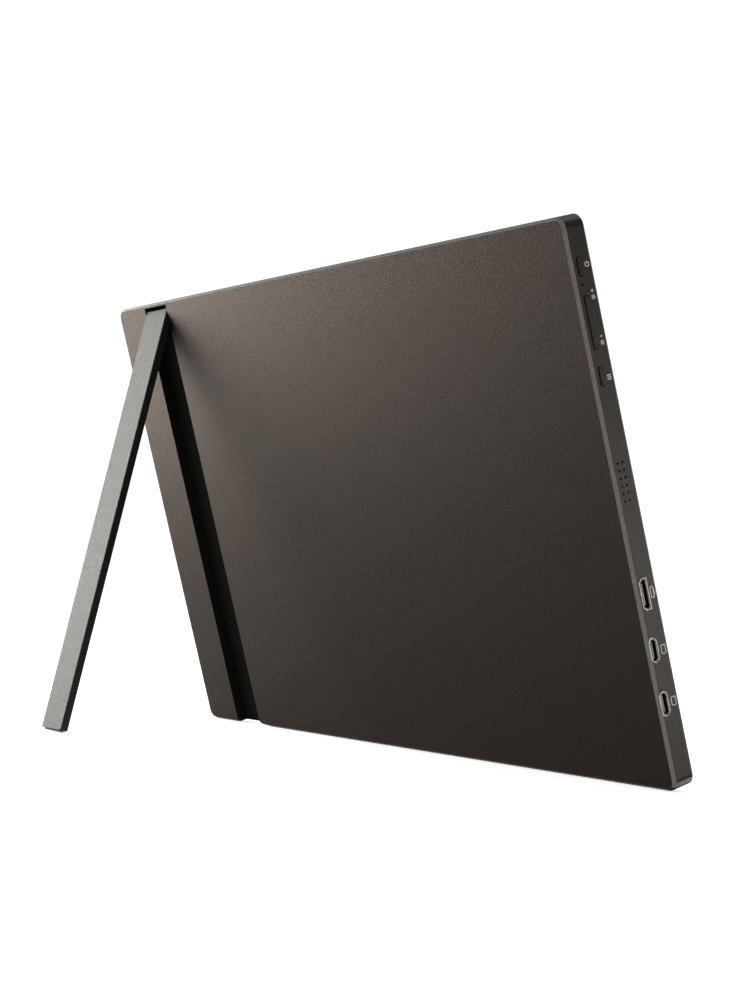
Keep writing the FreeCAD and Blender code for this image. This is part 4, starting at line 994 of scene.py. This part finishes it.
@dataclass
class SocketRimHighlights:
    """Flat bright collars of the sockets, sunk a little way into the bevels round their mouths: a
    painted highlight on the bevels.
    """

    bevel: float = 0.5
    sunk: float = 0.2
    width: float = 0.26
    wall_gap: float = 0.15
    skin: float = 0.025
    usb_nodes: tuple[str, str] = ("usb_c_shell_upper", "usb_c_shell_lower")
    usb_flat: float = 0.02
    usb_segments: int = 8
    display_node: str = "display_socket_shell"
    display_size: Pair = (11.6, 3.0)
    display_cut: float = 0.9
    display_segments: int = 1

    def ring(self, name: str, length: float, width: float, corner: float, segments: int,
             only_back: bool) -> Workbench:
        """Flat collar in the bevel of one mouth.

        Args:
            name: Name of the piece.
            length: Size of the shell up the wall.
            width: Size of the shell through the wall's thickness.
            corner: Corner of the shell.
            segments: Faces in each corner.
            only_back: Whether only the corners towards the back are shaped.

        Returns:
            The bench with the ring on it.
        """
        bench = Workbench(name)
        grow = self.wall_gap + self.bevel - self.sunk
        bench.outline(length + 2 * grow, width + 2 * grow, corner + grow, self.width, segments,
                      only_back)
        bench.lift(-self.sunk)
        bench.thicken(self.skin)
        return bench

    def build(self, material: bpy.types.Material) -> None:
        """Build the three rings.

        Args:
            material: Finish of the painted highlight on the bevels.
        """
        for node in self.usb_nodes:
            low, high = STANCE.inside(node)
            middle, size = (low + high) / 2, high - low
            bench = self.ring("rim_" + node, size.z, size.y, size.y / 2 - self.usb_flat,
                              self.usb_segments, False)
            bench.finish(STANCE.wall(middle.y, middle.z), material, Body.MONITOR, Slot.CASE)
        low, high = STANCE.inside(self.display_node)
        length, width = self.display_size
        bench = self.ring("rim_display_socket", length, width, self.display_cut,
                          self.display_segments, True)
        place = STANCE.wall(low.y + width / 2, (low.z + high.z) / 2)
        bench.finish(place, material, Body.MONITOR, Slot.CASE)


@dataclass
class SocketContacts:
    """Gilt contact strips on the tongues of the sockets."""

    strip: float = 0.28
    thickness: float = 0.03
    tip: float = 0.25
    length_share: float = 0.72
    tongues: tuple[tuple[str, int], ...] = (("usb_c_tongue_upper", 12),
                                            ("usb_c_tongue_lower", 12),
                                            ("display_socket_tongue", 10))

    def build(self, material: bpy.types.Material) -> None:
        """Build the strips of each tongue, on both of its sides.

        Args:
            material: Finish of the strips.
        """
        for node, count in self.tongues:
            low, high = STANCE.inside(node)
            pitch = (high.z - low.z - self.strip) / count
            long = (high.x - low.x) * self.length_share
            x = low.x + self.tip + long / 2
            bench = Workbench("contacts_" + node)
            for index in range(count):
                z = (low.z + high.z) / 2 + (index - (count - 1) / 2) * pitch
                for y in (low.y - self.thickness / 2, high.y + self.thickness / 2):
                    bench.box((long, self.thickness, self.strip), (x, y, z))
            bench.finish(STANCE.upright(), material, Body.MONITOR, Slot.STEEL)


@dataclass
class ScreenFace:
    """The picture area behind the front frame, inside a plain black border."""

    border: float = 1.6
    skin: float = 0.03
    window_x: Pair = (-178.75, 178.75)
    window_z: Pair = (17.5, 219.0)

    def build(self, material: bpy.types.Material) -> None:
        """Build the picture area as a thin sheet on the glass.

        Args:
            material: Finish of the picture area.
        """
        low, _ = STANCE.inside("lcd_front_glass")
        (left, right), (bottom, top) = self.window_x, self.window_z
        bench = Workbench("picture_area")
        size = (right - left - 2 * self.border, self.skin, top - bottom - 2 * self.border)
        bench.box(size, ((left + right) / 2, low.y - self.skin / 2, (top + bottom) / 2))
        bench.finish(STANCE.upright(), material, Body.MONITOR, Slot.GLASS)


@dataclass
class FootPad:
    """Ribbed rubber pad in the end of the leg."""

    width: float = 18.0
    depth: float = 2.0
    thickness: Pair = (-2.9, -0.9)
    tip: float = 1.5
    proud: float = 0.6
    ribs: int = 9
    rib_share: float = 0.62
    groove: float = 0.5
    rounding: float = 0.08

    def build(self, material: bpy.types.Material) -> None:
        """Build the pad and let it stand for its node.

        Args:
            material: Finish of the rubber.
        """
        bench = Workbench("foot_pad_ribbed")
        middle = STANCE.leg_middle
        y = sum(self.thickness) / 2
        across = self.thickness[1] - self.thickness[0]
        low = self.tip - self.proud + self.groove
        high = self.tip + self.depth
        bench.box((self.width, across, high - low), (middle, y, (low + high) / 2))
        step = self.width / self.ribs
        for rib in range(self.ribs):
            x = middle + (rib - (self.ribs - 1) / 2) * step
            bench.box((step * self.rib_share, across, self.groove), (x, y, low - self.groove / 2))
        bench.soften(self.rounding)
        piece = bench.finish(STANCE.leg(), material, Body.STAND, Slot.RUBBER)
        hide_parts("leg_foot_pad")


@dataclass(frozen=True)
class PanelLight:
    """Soft panel light: its place, aim, width and height in metres, and its power in watts."""

    name: str
    place: Triple
    aim: Triple
    size: Pair
    power: float
    colour: Triple = WHITE

    def build(self) -> None:
        """Put the light into the scene."""
        data = bpy.data.lights.new(self.name, "AREA")
        data.shape = "RECTANGLE"
        data.size, data.size_y = self.size
        data.energy = self.power
        data.color = self.colour
        point_at(add_object(self.name, data), self.place, self.aim)


@dataclass
class Studio:
    """Pale floor, soft lights and the camera of the photograph's view."""

    camera_place: Triple = (-0.74698955, 0.46385479, 0.09048135)
    camera_aim: Triple = (0.00332251, -0.03257374, 0.11478212)
    camera_roll: float = 0.8722
    lens: float = 70.1877
    sensor: float = 36.0
    nearest: float = 0.01
    floor_radius: float = 9.0
    floor_drop: float = 0.0004
    floor_segments: int = 96
    dark_side: float = 1.0
    bright_side: float = 1.15
    bright_way: Triple = (1.0, 0.0, 1.2)
    bright_range: Pair = (-0.9, 0.7)
    lights: tuple[PanelLight, ...] = (
        PanelLight("top_panel", (0.2, -0.5, 1.9), ORIGIN, (2.4, 2.4), 10.0),
        PanelLight("leg_side_panel", (1.16, 0.44, 0.32), (0.05, 0.02, 0.1), (0.9, 0.7), 28.0,
                   (0.96, 0.99, 1.0)),
        PanelLight("port_side_panel", (-1.1, -0.8, 0.05), (-0.18, -0.02, 0.04), (0.9, 0.1), 9.0),
        PanelLight("corner_strip", (-0.23, -0.43, 1.1), (-0.185, 0.0, 0.2), (0.5, 0.16), 3.0),
    )

    def camera(self) -> None:
        """Set up the camera."""
        data = bpy.data.cameras.new("view")
        data.lens = self.lens
        data.sensor_width = self.sensor
        data.sensor_fit = "AUTO"
        data.clip_start = self.nearest
        camera = add_object("view", data)
        point_at(camera, self.camera_place, self.camera_aim, math.radians(self.camera_roll))
        bpy.context.scene.camera = camera

    def floor(self) -> None:
        """Lay the floor."""
        bench = bmesh.new()
        bmesh.ops.create_circle(bench, cap_ends=True, segments=self.floor_segments,
                                radius=self.floor_radius,
                                matrix=Matrix.Translation((0.0, 0.0, -self.floor_drop)))
        data = bpy.data.meshes.new("floor")
        bench.to_mesh(data)
        bench.free()
        floor = add_object("floor", data)
        data.materials.append(FINISHES["pale_floor"].make())

    def sky(self) -> None:
        """Soft surround that is brighter on the leg's side than on the port side."""
        world = bpy.data.worlds.new("studio")
        world.use_nodes = True
        nodes, links = world.node_tree.nodes, world.node_tree.links
        background = nodes["Background"]
        coords = nodes.new("ShaderNodeTexCoord")
        facing = nodes.new("ShaderNodeVectorMath")
        facing.operation = "DOT_PRODUCT"
        facing.inputs[1].default_value = self.bright_way
        ramp = nodes.new("ShaderNodeMapRange")
        start, end = self.bright_range
        preset(ramp, From_Min=start, From_Max=end, To_Min=self.dark_side, To_Max=self.bright_side)
        preset(background, Color=(*WHITE, 1.0))
        links.new(coords.outputs["Generated"], facing.inputs[0])
        links.new(facing.outputs["Value"], ramp.inputs["Value"])
        links.new(ramp.outputs["Result"], background.inputs["Strength"])
        bpy.context.scene.world = world

    def build(self) -> None:
        """Set up the camera, the floor, the sky and the lights."""
        self.camera()
        self.floor()
        self.sky()
        for light in self.lights:
            light.build()
        bpy.context.scene.view_settings.view_transform = "Standard"


def main() -> None:
    """Build the studio and every piece in order."""
    logging.basicConfig(level=logging.INFO, format="%(name)s: %(message)s")
    Studio().build()
    finishes = CaseFinishes()
    finishes.dress()
    finishes.dress_cover()
    finishes.dress_keys()
    PortPictograms().build(finishes.material("pale_print"))
    # Collars with a painted highlight in the sockets' bevels.
    SocketRimHighlights().build(finishes.material("socket_rim_highlight"))
    SocketContacts().build(finishes.material("contact_gold"))
    ScreenFace().build(finishes.material("pixel_area"))
    FootPad().build(finishes.material("foot_rubber"))


if __name__ == "__main__":
    main()
